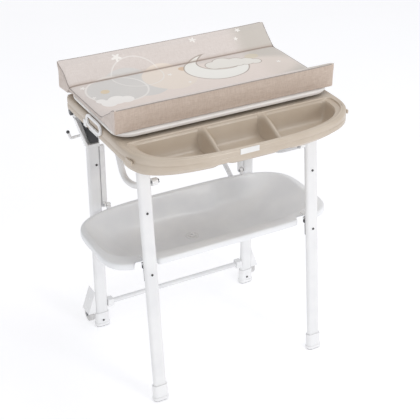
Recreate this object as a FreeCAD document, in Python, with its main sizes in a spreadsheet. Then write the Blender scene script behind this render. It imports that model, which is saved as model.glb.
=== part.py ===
"""Folding changing table with a lower bath basin, as a parametric FreeCAD document.

Frame: +X to the right seen from the front, +Y to the back, +Z up, millimetres.
The origin is on the floor under the middle of the object's bounding box.

The table folds as a set of parallel links.  The upright frame (rear legs) stands still.
The top turns up about the rear hinge pins; the side stays and the basin turn with it by the
same angle about their own rear pins; the front legs hang from the top and stay parallel to
the way they stand.  So every link has the same reach, hinge pin to hinge pin, as the top.
"""
import FreeCAD, Part
import math
import os
import re

from FreeCAD import Placement, Rotation, Vector
from Sketcher import Constraint

os.makedirs("parts", exist_ok=True)
doc = FreeCAD.newDocument("ChangingTable")

# ---------------------------------------------------------------- driving dimensions, mm
DIMENSIONS = {
    # legs
    "leg_x": 308, "leg_width": 46, "leg_depth": 21, "leg_wall": 1.6,
    "hinge_z": 886, "rear_leg_y": 272, "rear_leg_top": "=hinge_z - 144",
    "front_pivot_y": "=rear_leg_y - 403.5", "front_pivot_z": "=hinge_z - 7",
    "front_foot_y": "=front_pivot_y - 89.8",
    "foot_height": 58, "foot_flange": 4, "foot_lip": 12, "sole": 2, "leg_plug": 20,
    # rear hinge heads and pins
    "head_outer_x": "=leg_x + 64", "head_depth": 28, "head_wall": 3, "knuckle_r": 14,
    "pin_r": 5, "small_pin_r": 4, "running_gap": 0.05, "plate": 7.4, "side_gap": 0.6,
    "leg_knuckle_r": 11,
    # screws on the legs
    "screw_r": 4, "screw_head": 1.5, "rear_screw_z": "=rear_leg_top - 70", "foot_screw_z": 27,
    "leg_screw_low": "=0.54 * hinge_z", "leg_screw_high": "=0.786 * hinge_z",
    # crossbar, transport wheels
    "crossbar_r": 9.5, "crossbar_z": 91, "wheel_r": 27, "wheel_width": 20,
    "wheel_z": "=wheel_r + 15", "wheel_y": "=rear_leg_y + 29", "fender_bottom": 60,
    "fender_top": "=fender_bottom + 89", "fender_reach": 31,
    # side stays
    "stay_r": 11, "stay_wall": 1.5, "stay_eye": 19, "stay_eye_r": "=stay_r + 1",
    "stay_x": "=leg_x - leg_width / 2 - stay_eye / 2 - 3.5", "stay_pin_z": "=hinge_z - 96",
    "stay_sag_z": "=stay_pin_z - 94",
    # basin
    "rim_top": 505, "basin_half": "=leg_x + 119", "basin_front": "=front_pivot_y - 19",
    "basin_back": "=rear_leg_y - 15.5", "basin_mid": "=( basin_front + basin_back ) / 2",
    "rim_skirt": 20, "basin_wall": 3, "tub_half": "=basin_half - 27",
    "tub_front": "=basin_front + 44", "tub_back": "=basin_back - 22",
    "tub_floor": "=rim_top - 133", "floor_half": "=0.6 * tub_half",
    "floor_front": "=basin_mid + 7", "floor_back": "=tub_back - 34.5",
    "basin_pin_y": "=rear_leg_y - 21", "basin_pin_z": "=rim_top + 10",
    "notch_width": "=leg_width + 26", "notch_depth": 25,
    "rail_inner_x": "=leg_x - leg_width / 2 - 18", "rail_depth": 14,
    "rail_front": "=rear_leg_y - 10", "rail_foot": "=rim_top - 5",
    "drain_r": 19, "drain_y": "=( floor_front + floor_back ) / 2",
    "hose_r": 9, "hose_x": "=0.6 * tub_half", "hose_y": "=rear_leg_y - 6",
    "hose_top": "=rim_top + 57", "hose_lean": 37,
    # top tray with three pockets
    "tray_half": "=leg_x + 83", "tray_front": "=front_pivot_y - 206",
    "tray_rear": "=rear_leg_y + 12", "tray_top": "=hinge_z + 61", "tray_skirt": "=tray_top - 42",
    "tray_wall": 3, "nose_start": "=front_pivot_y + 1.5", "nose_power": 3.3,
    "pocket_half": "=tray_half - 44", "pocket_back": "=front_pivot_y - 20",
    "pocket_front": "=tray_front + 15", "pocket_floor": "=tray_top - 71", "pocket_power": 3,
    "divider_x": "=0.276215 * tray_half", "divider": 12,
    "apron_bottom": "=tray_skirt - 16", "apron_inset": 9,
    "label_x": -42, "label_width": 66, "label_height": 18, "label_thick": 3,
    "label_z": "=tray_top - 15",
    "cap_y": "=tray_front + 126.5", "cap_length": 42, "cap_height": 13, "cap_inset": 2,
    # changing board and mat
    "board_half": "=tray_half - 3", "board_front": "=front_pivot_y - 5",
    "board_hinge_y": "=tray_rear + 5", "board_hinge_z": "=tray_top + 4", "board_pin_r": 2,
    "board_rear": "=board_hinge_y - 29.5", "board_bottom": "=tray_top + 9",
    "board_top": "=board_bottom + 14", "board_corner": 62, "board_wall": 3,
    "board_hinge_x": "=0.644330 * board_half", "board_knuckle_r": 3.5,
    "pad_r": 11, "pad_x": "=0.773196 * board_half", "pad_front": "=board_front + 46.5",
    "pad_rear": "=board_rear - 59.5",
    "mat_length": "=2 * board_half + 4", "mat_shift": 6, "mat_front": "=board_front + 8",
    "mat_rear": "=board_rear + 78", "mat_bed": 13.5, "mat_gap": 0.4, "front_bolster": 85,
    "front_bolster_depth": 112, "back_bolster_top": "=board_top + 81",
    "back_bolster_bottom": "=board_bottom - 0.7", "back_bolster_crease": "=board_rear - 14.5",
    # side latches and hooks
    "latch_front": "=pad_front + 62", "latch_rear": "=latch_front + 116", "latch_height": 42,
    "latch_thick": 6, "latch_pin_z": "=tray_top - 31.5", "latch_gap": 1.5, "latch_pin_r": 1.5,
    "latch_barrel_r": 3.6,
    "hook_r": 5, "hook_z": "=hinge_z - 94", "hook_reach": 42, "hook_rise": 22,
}

sheet = doc.addObject("Spreadsheet::Sheet", "dims")
for row, (alias, value) in enumerate(DIMENSIONS.items(), start=1):
    sheet.set(f"A{row}", alias)
    sheet.set(f"B{row}", str(value))
    sheet.setAlias(f"B{row}", alias)
doc.recompute()


def dim(alias):
    """The value that the sheet holds for one driving dimension."""
    return float(sheet.get(alias))


def cells(text):
    """An expression in plain aliases, with each alias pointed at the sheet."""
    return re.sub(r"[A-Za-z_]\w*",
                  lambda word: f"dims.{word[0]}" if word[0] in DIMENSIONS else word[0], text)


SIDES = {"left": -1, "right": 1}
NODES = []
GROUPS = {}


def node(obj, label):
    """Give a finished piece its name and keep it for export."""
    obj.Label = label
    NODES.append(obj)
    return obj


def member(obj, label):
    """Keep one of several like pieces that share a node."""
    GROUPS.setdefault(label, []).append(obj)
    return obj


# ---------------------------------------------------------------- primitives bound to the sheet
def place(obj, x, y, z):
    for axis, text in zip("xyz", (x, y, z)):
        obj.setExpression(f".Placement.Base.{axis}", cells(text))
    return obj


def box(x, y, z):
    """A block between two expressions along each axis."""
    obj = doc.addObject("Part::Box", "Block")
    for prop, (low, high) in zip(("Length", "Width", "Height"), (x, y, z)):
        obj.setExpression(prop, cells(f"( {high} ) - ( {low} )"))
    return place(obj, x[0], y[0], z[0])


def side_box(side, x, y, z):
    """A block given for the right side, mirrored to the left one when side is -1."""
    low, high = x
    if side < 0:
        low, high = f"- ( {x[1]} )", f"- ( {x[0]} )"
    return box((low, high), y, z)


TURNS = {"x": Rotation(Vector(0, 1, 0), 90), "y": Rotation(Vector(1, 0, 0), -90),
         "z": Rotation()}


def rod(axis, start, radius, length):
    """A cylinder from start along +axis."""
    obj = doc.addObject("Part::Cylinder", "Rod")
    obj.setExpression("Radius", cells(radius))
    obj.setExpression("Height", cells(length))
    obj.Placement = Placement(Vector(), TURNS[axis])
    return place(obj, *start)


def side_rod(side, x, y, z, radius):
    """A cylinder along X between two distances from the middle plane."""
    start = x[0] if side > 0 else f"- ( {x[1]} )"
    return rod("x", (start, y, z), radius, f"( {x[1]} ) - ( {x[0]} )")


def fuse(*pieces):
    obj = doc.addObject("Part::MultiFuse", "Join")
    obj.Shapes = list(pieces)
    return obj


def cut(base, *tools):
    tool = tools[0] if len(tools) == 1 else fuse(*tools)
    obj = doc.addObject("Part::Cut", "Cut")
    obj.Base, obj.Tool = base, tool
    return obj


def feature(shape, name="Shape"):
    """A piece whose outline only Part's own functions can make."""
    obj = doc.addObject("Part::Feature", name)
    obj.Shape = shape
    return obj


# ---------------------------------------------------------------- oval tubes and caps
def plane_of(body, role):
    return next(f for f in body.Origin.OriginFeatures if f.Role == role)


def oval_sketch(body, width, depth, height):
    """A slot-shaped sketch: width along X, depth along Y, at a height above the body's XY plane."""
    sketch = body.newObject("Sketcher::SketchObject", "Oval")
    sketch.AttachmentSupport = [(plane_of(body, "XY_Plane"), "")]
    sketch.MapMode = "FlatFace"
    up = Vector(0, 0, 1)
    top = sketch.addGeometry(Part.LineSegment(Vector(-10, 5, 0), Vector(10, 5, 0)))
    right = sketch.addGeometry(Part.ArcOfCircle(Part.Circle(Vector(10, 0, 0), up, 5),
                                                -math.pi / 2, math.pi / 2))
    bottom = sketch.addGeometry(Part.LineSegment(Vector(10, -5, 0), Vector(-10, -5, 0)))
    left = sketch.addGeometry(Part.ArcOfCircle(Part.Circle(Vector(-10, 0, 0), up, 5),
                                               math.pi / 2, 3 * math.pi / 2))
    sketch.addConstraint([
        Constraint("Tangent", top, 2, right, 2),
        Constraint("Tangent", right, 1, bottom, 1),
        Constraint("Tangent", bottom, 2, left, 2),
        Constraint("Tangent", left, 1, top, 1),
        Constraint("Horizontal", top),
        Constraint("Equal", left, right),
        Constraint("Symmetric", left, 3, right, 3, -1, 1),
    ])
    across = sketch.addConstraint(Constraint("DistanceX", left, 3, right, 3, 20.0))
    radius = sketch.addConstraint(Constraint("Radius", right, 5.0))
    sketch.setExpression(f"Constraints[{across}]", cells(f"( {width} ) - ( {depth} )"))
    sketch.setExpression(f"Constraints[{radius}]", cells(f"( {depth} ) / 2"))
    sketch.setExpression(".AttachmentOffset.Base.z", cells(height))
    return sketch


def oval_body(name, steps):
    """A body of stacked ovals: each step is (kind, width, depth, from, length)."""
    body = doc.addObject("PartDesign::Body", name)
    for kind, width, depth, start, length in steps:
        sketch = oval_sketch(body, width, depth, start)
        extrusion = body.newObject(f"PartDesign::{kind}", kind)
        extrusion.Profile = sketch
        extrusion.setExpression("Length", cells(length))
        extrusion.Reversed = kind == "Pocket"
        sketch.Visibility = False
    return body


LEAN = math.atan2(dim("front_pivot_y") - dim("front_foot_y"), dim("front_pivot_z"))
LEG_REACH = math.hypot(dim("front_pivot_y") - dim("front_foot_y"), dim("front_pivot_z"))
LEAN_TEXT = "atan2( front_pivot_y - front_foot_y ; front_pivot_z )"


def lean(obj, side):
    """Stand a piece made in the front leg's own frame on its foot, leaning back to the pivot."""
    obj.Placement = Placement(Vector(), Rotation(Vector(1, 0, 0), -math.degrees(LEAN)))
    obj.setExpression(".Placement.Rotation.Angle", cells(LEAN_TEXT))
    obj.Placement.Rotation.Axis = Vector(-1, 0, 0)
    return place(obj, f"{side} * leg_x", "front_foot_y", "0")


# ---------------------------------------------------------------- outlines from a formula
def superellipse(half, y_mid, reach, power, z, arc=(0.0, 2 * math.pi), steps=48):
    """Points of |x/half|^n + |y/reach|^n = 1 about (0, y_mid), as far as the arc goes."""
    points = []
    for i in range(steps + 1):
        angle = arc[0] + (arc[1] - arc[0]) * i / steps
        c, s = round(math.cos(angle), 9), round(math.sin(angle), 9)
        x = half * math.copysign(abs(c) ** (2 / power), c)
        y = y_mid + reach * math.copysign(abs(s) ** (2 / power), s)
        points.append(Vector(x, y, z))
    return points


def closed_curve(points):
    curve = Part.BSplineCurve()
    curve.interpolate(points[:-1], PeriodicFlag=True)
    return Part.Wire(curve.toShape())


def nose_wire(half, start, front, power, z, back=None):
    """A straight back edge and straight sides, closed by a rounded nose toward -Y."""
    points = superellipse(half, start, start - front, power, z, (math.pi, 2 * math.pi), 24)
    curve = Part.BSplineCurve()
    curve.interpolate(points)
    edges = [curve.toShape()]
    corners = [points[-1]]
    if back is not None:
        corners += [Vector(half, back, z), Vector(-half, back, z)]
    corners.append(points[0])
    edges += [Part.LineSegment(a, b).toShape() for a, b in zip(corners, corners[1:])]
    return Part.Wire(edges)


def prism(wire, height):
    return Part.Face(wire).extrude(Vector(0, 0, height))


def rounded_path(points, radii):
    """Straight runs through the points, with a tangent arc of the given radius at each inner one."""
    edges, last = [], points[0]
    for before, corner, after, radius in zip(points, points[1:], points[2:], radii):
        into, out = (corner - before).normalize(), (after - corner).normalize()
        turn = into.getAngle(out)
        run = radius * math.tan(turn / 2)
        start, end = corner - into * run, corner + out * run
        centre_way = (out - into).normalize()
        middle = corner + centre_way * (radius / math.cos(turn / 2) - radius)
        edges.append(Part.LineSegment(last, start).toShape())
        edges.append(Part.Arc(start, middle, end).toShape())
        last = end
    edges.append(Part.LineSegment(last, points[-1]).toShape())
    return Part.Wire(edges)


def tube_along(path, radius, wall=0.0):
    """A round bar or tube swept along a path of straight runs and tangent arcs."""
    start, way = path.Edges[0].Vertexes[0].Point, path.Edges[0].tangentAt(0)

    def sweep(r):
        circle = Part.Wire(Part.Circle(start, way, r).toShape())
        return path.makePipeShell([circle], True, False)

    solid = sweep(radius)
    return solid.cut(sweep(radius - wall)) if wall else solid


# ---------------------------------------------------------------- upright frame (stands still)
def rear_leg(side, name):
    leg = oval_body("RearLeg", [
        ("Pad", "leg_width", "leg_depth", "leg_plug", "rear_leg_top - leg_plug"),
        ("Pocket", "leg_width - 2 * leg_wall", "leg_depth - 2 * leg_wall", "leg_plug",
         "rear_leg_top - leg_plug"),
    ])
    place(leg, f"{side} * leg_x", "rear_leg_y", "0")
    node(leg, f"{name}_rear_leg")


def rear_foot(side, name):
    cup = "leg_depth + 2 * running_gap"
    foot = oval_body("RearFoot", [
        ("Pad", "leg_width + 3 * foot_flange", "leg_depth + 3 * foot_flange", "sole",
         "foot_lip"),
        ("Pad", "leg_width + 2 * foot_flange", "leg_depth + 2 * foot_flange", "sole",
         "foot_height - sole"),
        ("Pocket", "leg_width + 2 * running_gap", cup, "leg_plug - running_gap",
         "foot_height"),
    ])
    place(foot, f"{side} * leg_x", "rear_leg_y", "0")
    node(foot, f"{name}_rear_foot")
    sole = oval_body("RearSole", [
        ("Pad", "leg_width + 2 * foot_flange", "leg_depth + 2 * foot_flange", "0", "sole")])
    place(sole, f"{side} * leg_x", "rear_leg_y", "0")
    member(sole, "rear_soles")


def hinge_head(side, name):
    """A flared, open-fronted shell on top of the rear leg that ends in the hinge knuckle."""
    inner, outer = dim("leg_x") - dim("leg_width") / 2, dim("leg_x") + dim("leg_width") / 2
    y, half = dim("rear_leg_y"), dim("head_depth") / 2
    low, high = dim("rear_leg_top") + dim("side_gap"), dim("hinge_z") - dim("knuckle_r") / 2

    def section(x0, x1, front, back, z):
        return Part.makePolygon([Vector(side * x0, front, z), Vector(side * x1, front, z),
                                 Vector(side * x1, back, z), Vector(side * x0, back, z),
                                 Vector(side * x0, front, z)])

    wall = dim("head_wall")
    shell = Part.makeLoft([section(inner, outer, y - half, y + half, low),
                           section(inner, dim("head_outer_x"), y - half, y + half, high)],
                          True, True)
    floor_z = low + 4 * wall
    hollow = Part.makeLoft([section(inner + wall, outer - wall, y - 2 * half, y + half - wall,
                                    floor_z),
                            section(inner + wall, dim("head_outer_x") - wall, y - 2 * half,
                                    y + half - wall, high - 4 * wall)], True, True)
    shell = feature(shell.cut(hollow), "HeadShell")
    knuckle = side_rod(side, ("leg_x - leg_width / 2", "head_outer_x"), "rear_leg_y",
                       "hinge_z", "knuckle_r")
    bore = side_rod(side, ("leg_x - leg_width", "head_outer_x + leg_width"), "rear_leg_y",
                    "hinge_z", "pin_r + running_gap")
    plug = box((f"{side} * leg_x - leg_width / 4", f"{side} * leg_x + leg_width / 4"),
               ("rear_leg_y - leg_depth / 4", "rear_leg_y + leg_depth / 4"),
               ("rear_leg_top - leg_plug", "rear_leg_top + 2 * side_gap"))
    node(cut(fuse(shell, knuckle, plug), bore), f"{name}_hinge_head")


def crossbar_parts():
    bar = rod("x", ("leg_width / 2 - leg_x + 2", "rear_leg_y", "crossbar_z"), "crossbar_r",
              "2 * leg_x - leg_width - 4")
    node(bar, "rear_crossbar")
    for name, side in SIDES.items():
        block = side_box(side, ("leg_x - leg_width", "leg_x - leg_width / 2 - running_gap"),
                         ("rear_leg_y - head_depth / 2", "rear_leg_y + head_depth / 2"),
                         ("crossbar_z - 14", "crossbar_z + 15"))
        bore = side_rod(side, ("leg_x - leg_width - 1", "leg_x - leg_width / 2 - 1.5"),
                        "rear_leg_y", "crossbar_z", "crossbar_r + running_gap")
        member(cut(block, bore), "crossbar_sockets")


def wheel_parts(side, name):
    """A slanted fender on the outside of the rear leg, its axle, and the transport wheel."""
    face = dim("leg_x") + dim("leg_width") / 2 + dim("side_gap") / 2
    reach, top, bottom = dim("fender_reach"), dim("fender_top"), dim("fender_bottom")
    y0, y1 = dim("rear_leg_y") - 4, dim("wheel_y") + dim("wheel_r") - 2
    wedge = Part.makePolygon([Vector(side * face, y0, top), Vector(side * face, y0, bottom),
                              Vector(side * (face + reach), y0, bottom),
                              Vector(side * face, y0, top)])
    hood = feature(Part.Face(wedge).extrude(Vector(0, y1 - y0, 0)), "Hood")
    wheel_in = "leg_x + leg_width / 2 + 4"
    wheel_out = f"{wheel_in} + wheel_width"
    well = side_rod(side, (f"{wheel_in} - 1", f"{wheel_out} + 1"), "wheel_y", "wheel_z",
                    "wheel_r + 2.5")
    plate_x = ("leg_x + leg_width / 2 + side_gap / 2", "leg_x + leg_width / 2 + 3")
    plate = side_box(side, plate_x, ("wheel_y - 11", "wheel_y + 11"),
                     ("wheel_z - 9", "fender_bottom + 6"))
    bore = side_rod(side, ("leg_x", "leg_x + leg_width / 2 + 3.5"), "wheel_y", "wheel_z",
                    "small_pin_r + running_gap")
    node(cut(fuse(cut(hood, well), plate), bore), f"{name}_wheel_fender")
    axle = side_rod(side, (plate_x[0], f"{wheel_out} + 3"), "wheel_y", "wheel_z", "small_pin_r")
    cap = side_rod(side, (f"{wheel_out} + 1", f"{wheel_out} + 3"), "wheel_y", "wheel_z",
                   "2 * small_pin_r")
    member(fuse(axle, cap), "wheel_axles")
    bore = side_rod(side, (f"{wheel_in} - 1", f"{wheel_out} + 1"), "wheel_y", "wheel_z",
                    "small_pin_r + running_gap")
    hub = side_rod(side, (wheel_in, wheel_out), "wheel_y", "wheel_z", "wheel_r - 6")
    tread = side_rod(side, (f"{wheel_in} + 1", f"{wheel_out} - 1"), "wheel_y", "wheel_z",
                     "wheel_r")
    node(cut(fuse(hub, tread), bore), f"{name}_wheel")


def basin_rail(side, name):
    """The upright rail inside the rear leg, with the ear that carries the basin's rear pin."""
    outer = "leg_x - leg_width / 2 - side_gap / 2"
    rail = side_box(side, ("rail_inner_x", outer), ("rail_front", "rail_front + rail_depth"),
                    ("rail_foot", "rear_leg_top - 2"))
    ear = side_box(side, (f"{outer} - 6", outer), ("basin_pin_y", "rail_front + rail_depth"),
                   ("basin_pin_z - 8", "basin_pin_z + 8"))
    boss = side_rod(side, (f"{outer} - 6", outer), "basin_pin_y", "basin_pin_z", "8")
    bore = side_rod(side, ("rail_inner_x - 9", "leg_x"), "basin_pin_y", "basin_pin_z",
                    "small_pin_r + running_gap")
    node(cut(fuse(rail, ear, boss), bore), f"{name}_basin_rail")
    pin = side_rod(side, ("rail_inner_x - 6", outer), "basin_pin_y", "basin_pin_z",
                   "small_pin_r")
    member(pin, "basin_rear_pins")


def side_hook(side):
    """A J-shaped hook on the outer wall of the hinge head."""
    rise = (dim("hook_z") - dim("rear_leg_top")) / (dim("hinge_z") - dim("rear_leg_top"))
    root = dim("leg_x") + dim("leg_width") / 2
    root += rise * (dim("head_outer_x") - root) + 4.5
    y, z, reach = dim("rear_leg_y"), dim("hook_z"), dim("hook_reach")
    path = rounded_path([Vector(side * root, y, z), Vector(side * (root + 0.8 * reach), y, z - 3),
                         Vector(side * (root + reach), y, z + dim("hook_rise"))], [8])
    hook = member(feature(tube_along(path, dim("hook_r")), "Hook"), "side_hooks")
    tip = doc.addObject("Part::Sphere", "Tip")
    tip.setExpression("Radius", cells("hook_r + 1"))
    place(tip, f"{side * (root + reach)}", "rear_leg_y", "hook_z + hook_rise")
    member(cut(tip, hook), "hook_tips")


def stay_rear_pin(side):
    """The pin on the hinge head that the side stay turns on."""
    y, z = "rear_leg_y - front_pivot_y + " + STAY_PIN_Y, "hinge_z - front_pivot_z + stay_pin_z"
    stem = side_rod(side, ("stay_x - 13", "leg_x - leg_width / 2 - running_gap"), y, z,
                    "small_pin_r")
    disc = side_rod(side, ("stay_x - 15.5", "stay_x - 12.5"), y, z, "small_pin_r + 3")
    member(fuse(stem, disc), "stay_rear_pins")


STAY_PIN_Y = "( front_foot_y + ( front_pivot_y - front_foot_y ) * stay_pin_z / front_pivot_z )"

for name, side in SIDES.items():
    rear_leg(side, name)
    rear_foot(side, name)
    hinge_head(side, name)
    wheel_parts(side, name)
    basin_rail(side, name)
    side_hook(side)
    stay_rear_pin(side)
crossbar_parts()


def rear_screws():
    """Round screw heads on the front of the rear legs and feet."""
    for side in SIDES.values():
        face = "rear_leg_y - leg_depth / 2"
        member(rod("y", (f"{side} * ( leg_x - 8 )", f"{face} - 2", "rear_screw_z"),
                   "screw_r", "2 - running_gap"), "rear_frame_screws")
        member(rod("y", (f"{side} * leg_x", f"{face} - foot_flange - screw_head",
                         "foot_screw_z"), "screw_r", "screw_head - running_gap"),
               "rear_frame_screws")


rear_screws()


# ---------------------------------------------------------------- top: tray, pockets, brackets
def tray():
    half, wall = dim("tray_half"), dim("tray_wall")
    top, skirt, rear = dim("tray_top"), dim("tray_skirt"), dim("tray_rear")
    start, front = dim("nose_start"), dim("tray_front") + 1.3
    power = dim("nose_power")
    body = prism(nose_wire(half, start, front, power, skirt, rear), top - skirt)
    corners = [e for e in body.Edges if abs(e.Vertexes[0].Point.y - rear) < 0.01
               and e.Length < top - skirt + 0.1 and len(e.Vertexes) == 2
               and abs(e.Vertexes[0].Point.x - e.Vertexes[1].Point.x) < 0.01
               and abs(e.Vertexes[1].Point.y - rear) < 0.01]
    body = body.makeFillet(26, corners)
    top_edges = [e for e in body.Edges if all(abs(v.Point.z - top) < 0.01 for v in e.Vertexes)]
    body = body.makeFillet(5, top_edges)
    hollow = prism(nose_wire(half - wall, start, front + wall, power, skirt - 1, rear - wall),
                   top - skirt + 1 - wall)
    body = body.cut(hollow)
    inset, low = dim("apron_inset"), dim("apron_bottom")
    apron = prism(nose_wire(half - inset, start - 20, front + inset, power, low), top - 8 - low)
    inset += wall
    apron = apron.cut(prism(nose_wire(half - inset, start - 20 - wall, front + inset, power,
                                      low - 1), top - 6 - low))
    pockets = Part.makeLoft([
        nose_wire(0.95 * dim("pocket_half") + wall, dim("pocket_back") - 3 + wall,
                  dim("pocket_front") + 9 - wall, dim("pocket_power"), dim("pocket_floor") - wall),
        nose_wire(dim("pocket_half") + wall, dim("pocket_back") + wall,
                  dim("pocket_front") - wall, dim("pocket_power"), top - 1)], True, True)
    body = body.fuse([apron, pockets])
    hollow_pockets = Part.makeLoft([
        nose_wire(0.95 * dim("pocket_half"), dim("pocket_back") - 3, dim("pocket_front") + 9,
                  dim("pocket_power"), dim("pocket_floor")),
        nose_wire(dim("pocket_half"), dim("pocket_back"), dim("pocket_front"),
                  dim("pocket_power"), top + 0.01)], True, True)
    dividers = []
    for x in (-dim("divider_x"), dim("divider_x")):
        dividers.append(divider(x))
    body = body.cut(hollow_pockets.cut(dividers))
    grooves, width = [], dim("divider") - 4
    for x in (-dim("divider_x"), dim("divider_x")):
        grooves.append(Part.makeBox(width, 2 * (start - front), top - skirt,
                                    Vector(x - width / 2, front - 100,
                                           dim("apron_bottom") + 6 - (top - skirt))))
    body = body.cut(grooves)
    label = label_shape(0.1)
    return body.cut([label] + [cap_shape(side, 0.1) for side in SIDES.values()])


def divider(x):
    """A fin between two pockets, flush with the rim at the back and sloping down to the front."""
    back, front = dim("pocket_back") + 1, dim("pocket_front") - 1
    top, floor = dim("tray_top"), dim("pocket_floor") - 1
    slope = Part.makePolygon([Vector(x, back, floor), Vector(x, back, top),
                              Vector(x, back - 8, top), Vector(x, back - 0.62 * (back - front),
                                                               floor + 0.42 * (top - floor)),
                              Vector(x, front, floor + 0.4 * (top - floor)),
                              Vector(x, front, floor), Vector(x, back, floor)])
    half = dim("divider") / 2
    fin = Part.Face(slope).extrude(Vector(2 * half, 0, 0))
    fin.translate(Vector(-half, 0, 0))
    return fin


def label_shape(gap):
    """The plate on the tray's front, larger by the gap."""
    width, height = dim("label_width"), dim("label_height")
    return Part.makeBox(width + 2 * gap, dim("label_thick") + gap, height + 2 * gap,
                        Vector(dim("label_x") - width / 2 - gap, dim("tray_front"),
                               dim("label_z") - height / 2 - gap))


def cap_shape(side, gap):
    """The small cover on the tray's side, above the front leg."""
    thick = dim("label_thick") * 2
    outer = dim("tray_half") - dim("cap_inset")
    x = outer - thick - gap if side > 0 else -outer
    length, height = dim("cap_length"), dim("cap_height")
    return Part.makeBox(thick + gap, length + 2 * gap, height + 2 * gap,
                        Vector(x, dim("cap_y") - length / 2 - gap,
                               dim("label_z") - 10.5 - height / 2 - gap))


node(feature(tray(), "Tray"), "accessory_tray")
node(feature(label_shape(0.0), "Label"), "blank_label")
for name, side in SIDES.items():
    member(feature(cap_shape(side, 0.0), "Cap"), "tray_side_caps")


def hinge_bracket(side):
    """Two plates under the tray that take the rear hinge pin, inside and outside the head."""
    y, z = "rear_leg_y", "hinge_z"
    plates = []
    inner = ("leg_x - leg_width / 2 - side_gap - plate", "leg_x - leg_width / 2 - side_gap")
    outer = ("head_outer_x + side_gap", "head_outer_x + side_gap + plate")
    deck = "tray_top - tray_wall"
    for x in (inner, outer):
        plates.append(side_box(side, x, ("rear_leg_y - 13", "rear_leg_y + 9"), (z, deck)))
        plates.append(side_rod(side, x, y, z, "knuckle_r - 1"))
    bridge = side_box(side, (inner[0], outer[1]), ("rear_leg_y - 13", "rear_leg_y + 9"),
                      ("tray_top - tray_wall - 4", deck))
    bore = side_rod(side, ("leg_x - 2 * leg_width", "head_outer_x + leg_width"), y, z,
                    "pin_r + running_gap")
    member(cut(fuse(*plates, bridge), bore), "rear_hinge_brackets")
    pin = side_rod(side, (inner[0], f"{outer[1]} + 1"), y, z, "pin_r")
    member(pin, "rear_hinge_pins")


def leg_bracket(side):
    """The fork under the tray that the front leg hangs from."""
    y, z = "front_pivot_y", "front_pivot_z"
    inner = ("leg_x - leg_width / 2 - side_gap - plate", "leg_x - leg_width / 2 - side_gap")
    outer = ("leg_x + leg_width / 2 + side_gap", "leg_x + leg_width / 2 + side_gap + plate")
    deck = "tray_top - tray_wall"
    span = ("front_pivot_y - leg_knuckle_r", "front_pivot_y + leg_knuckle_r + 2")
    plates = []
    for x in (inner, outer):
        plates.append(side_box(side, x, span, (z, deck)))
        plates.append(side_rod(side, x, y, z, "leg_knuckle_r"))
    bridge = side_box(side, (inner[0], outer[1]), span, (f"{deck} - 4", deck))
    bore = side_rod(side, ("leg_x - 2 * leg_width", "leg_x + 2 * leg_width"), y, z,
                    "pin_r + running_gap")
    member(cut(fuse(*plates, bridge), bore), "leg_brackets")
    pin = side_rod(side, (inner[0], outer[1]), y, z, "pin_r")
    member(pin, "leg_pins")


def latch_outline(x, length, height, z_mid):
    """A slot-shaped plate standing in the YZ plane."""
    y_mid = (dim("latch_front") + dim("latch_rear")) / 2
    r = height / 2
    ends = length / 2 - r
    a, b = Vector(x, y_mid - ends, z_mid - r), Vector(x, y_mid + ends, z_mid - r)
    c, d = Vector(x, y_mid + ends, z_mid + r), Vector(x, y_mid - ends, z_mid + r)
    edges = [Part.LineSegment(a, b).toShape(),
             Part.Arc(b, Vector(x, y_mid + ends + r, z_mid), c).toShape(),
             Part.LineSegment(c, d).toShape(),
             Part.Arc(d, Vector(x, y_mid - ends - r, z_mid), a).toShape()]
    return Part.Face(Part.Wire(edges))


def side_latch(side, name):
    """A ring handle that swings outward on a pin, and the base that holds the pin."""
    x0 = dim("tray_half") + dim("latch_gap")
    thick, height = dim("latch_thick"), dim("latch_height")
    length = dim("latch_rear") - dim("latch_front")
    z_mid = dim("latch_pin_z") + 5.5 + height / 2
    x_mid = side * (x0 + thick / 2)
    out = Vector(side * thick, 0, 0)
    ring = latch_outline(side * x0, length, height, z_mid).extrude(out)
    ring = ring.cut(latch_outline(side * x0, length - 20, height - 18, z_mid).extrude(out))
    y0, y1 = dim("latch_front") + 36, dim("latch_rear") - 36
    pin_z = dim("latch_pin_z")
    web = Part.makeBox(4, y1 - y0, 9, Vector(x_mid - 2, y0, pin_z))
    barrel = Part.makeCylinder(dim("latch_barrel_r"), y1 - y0, Vector(x_mid, y0, pin_z), Vector(0, 1, 0))
    bore = Part.makeCylinder(dim("latch_pin_r") + dim("running_gap"), y1 - y0,
                             Vector(x_mid, y0, pin_z), Vector(0, 1, 0))
    node(feature(ring.fuse([web, barrel]).cut(bore), "Latch"), f"{name}_board_latch")
    ears = []
    wall = dim("tray_half") + dim("running_gap")
    for start in (y0 - 9, y1 + 0.6):
        ears.append(Part.makeCylinder(dim("latch_barrel_r"), 8.4, Vector(x_mid, start, pin_z),
                                      Vector(0, 1, 0)))
        low_x = wall if side > 0 else -(wall + thick / 2 + 1)
        ears.append(Part.makeBox(thick / 2 + 1, 8.4, 7, Vector(low_x, start, pin_z - 3.5)))
    strip_x = wall if side > 0 else -(wall + 1.2)
    ears.append(Part.makeBox(1.2, y1 - y0 + 18, 5, Vector(strip_x, y0 - 9, pin_z - 8)))
    base = ears[0].fuse(ears[1:])
    hole = Part.makeCylinder(dim("latch_pin_r") + dim("running_gap"), y1 - y0 + 40,
                             Vector(x_mid, y0 - 20, pin_z), Vector(0, 1, 0))
    member(feature(base.cut(hole), "LatchBase"), "latch_bases")
    pin = rod("y", (f"{x_mid}", f"{y0 - 9}", "latch_pin_z"), "latch_pin_r",
              f"{y1 - y0 + 18}")
    member(pin, "latch_pins")
    cover_x = wall if side > 0 else -(wall + thick)
    cover = Part.makeBox(thick, 20, 24, Vector(cover_x, dim("latch_rear") + 3, pin_z - 8))
    cover = cover.makeFillet(2.5, [e for e in cover.Edges if abs(e.Length - thick) < 0.01])
    member(feature(cover, "LatchCover"), "latch_covers")


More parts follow.
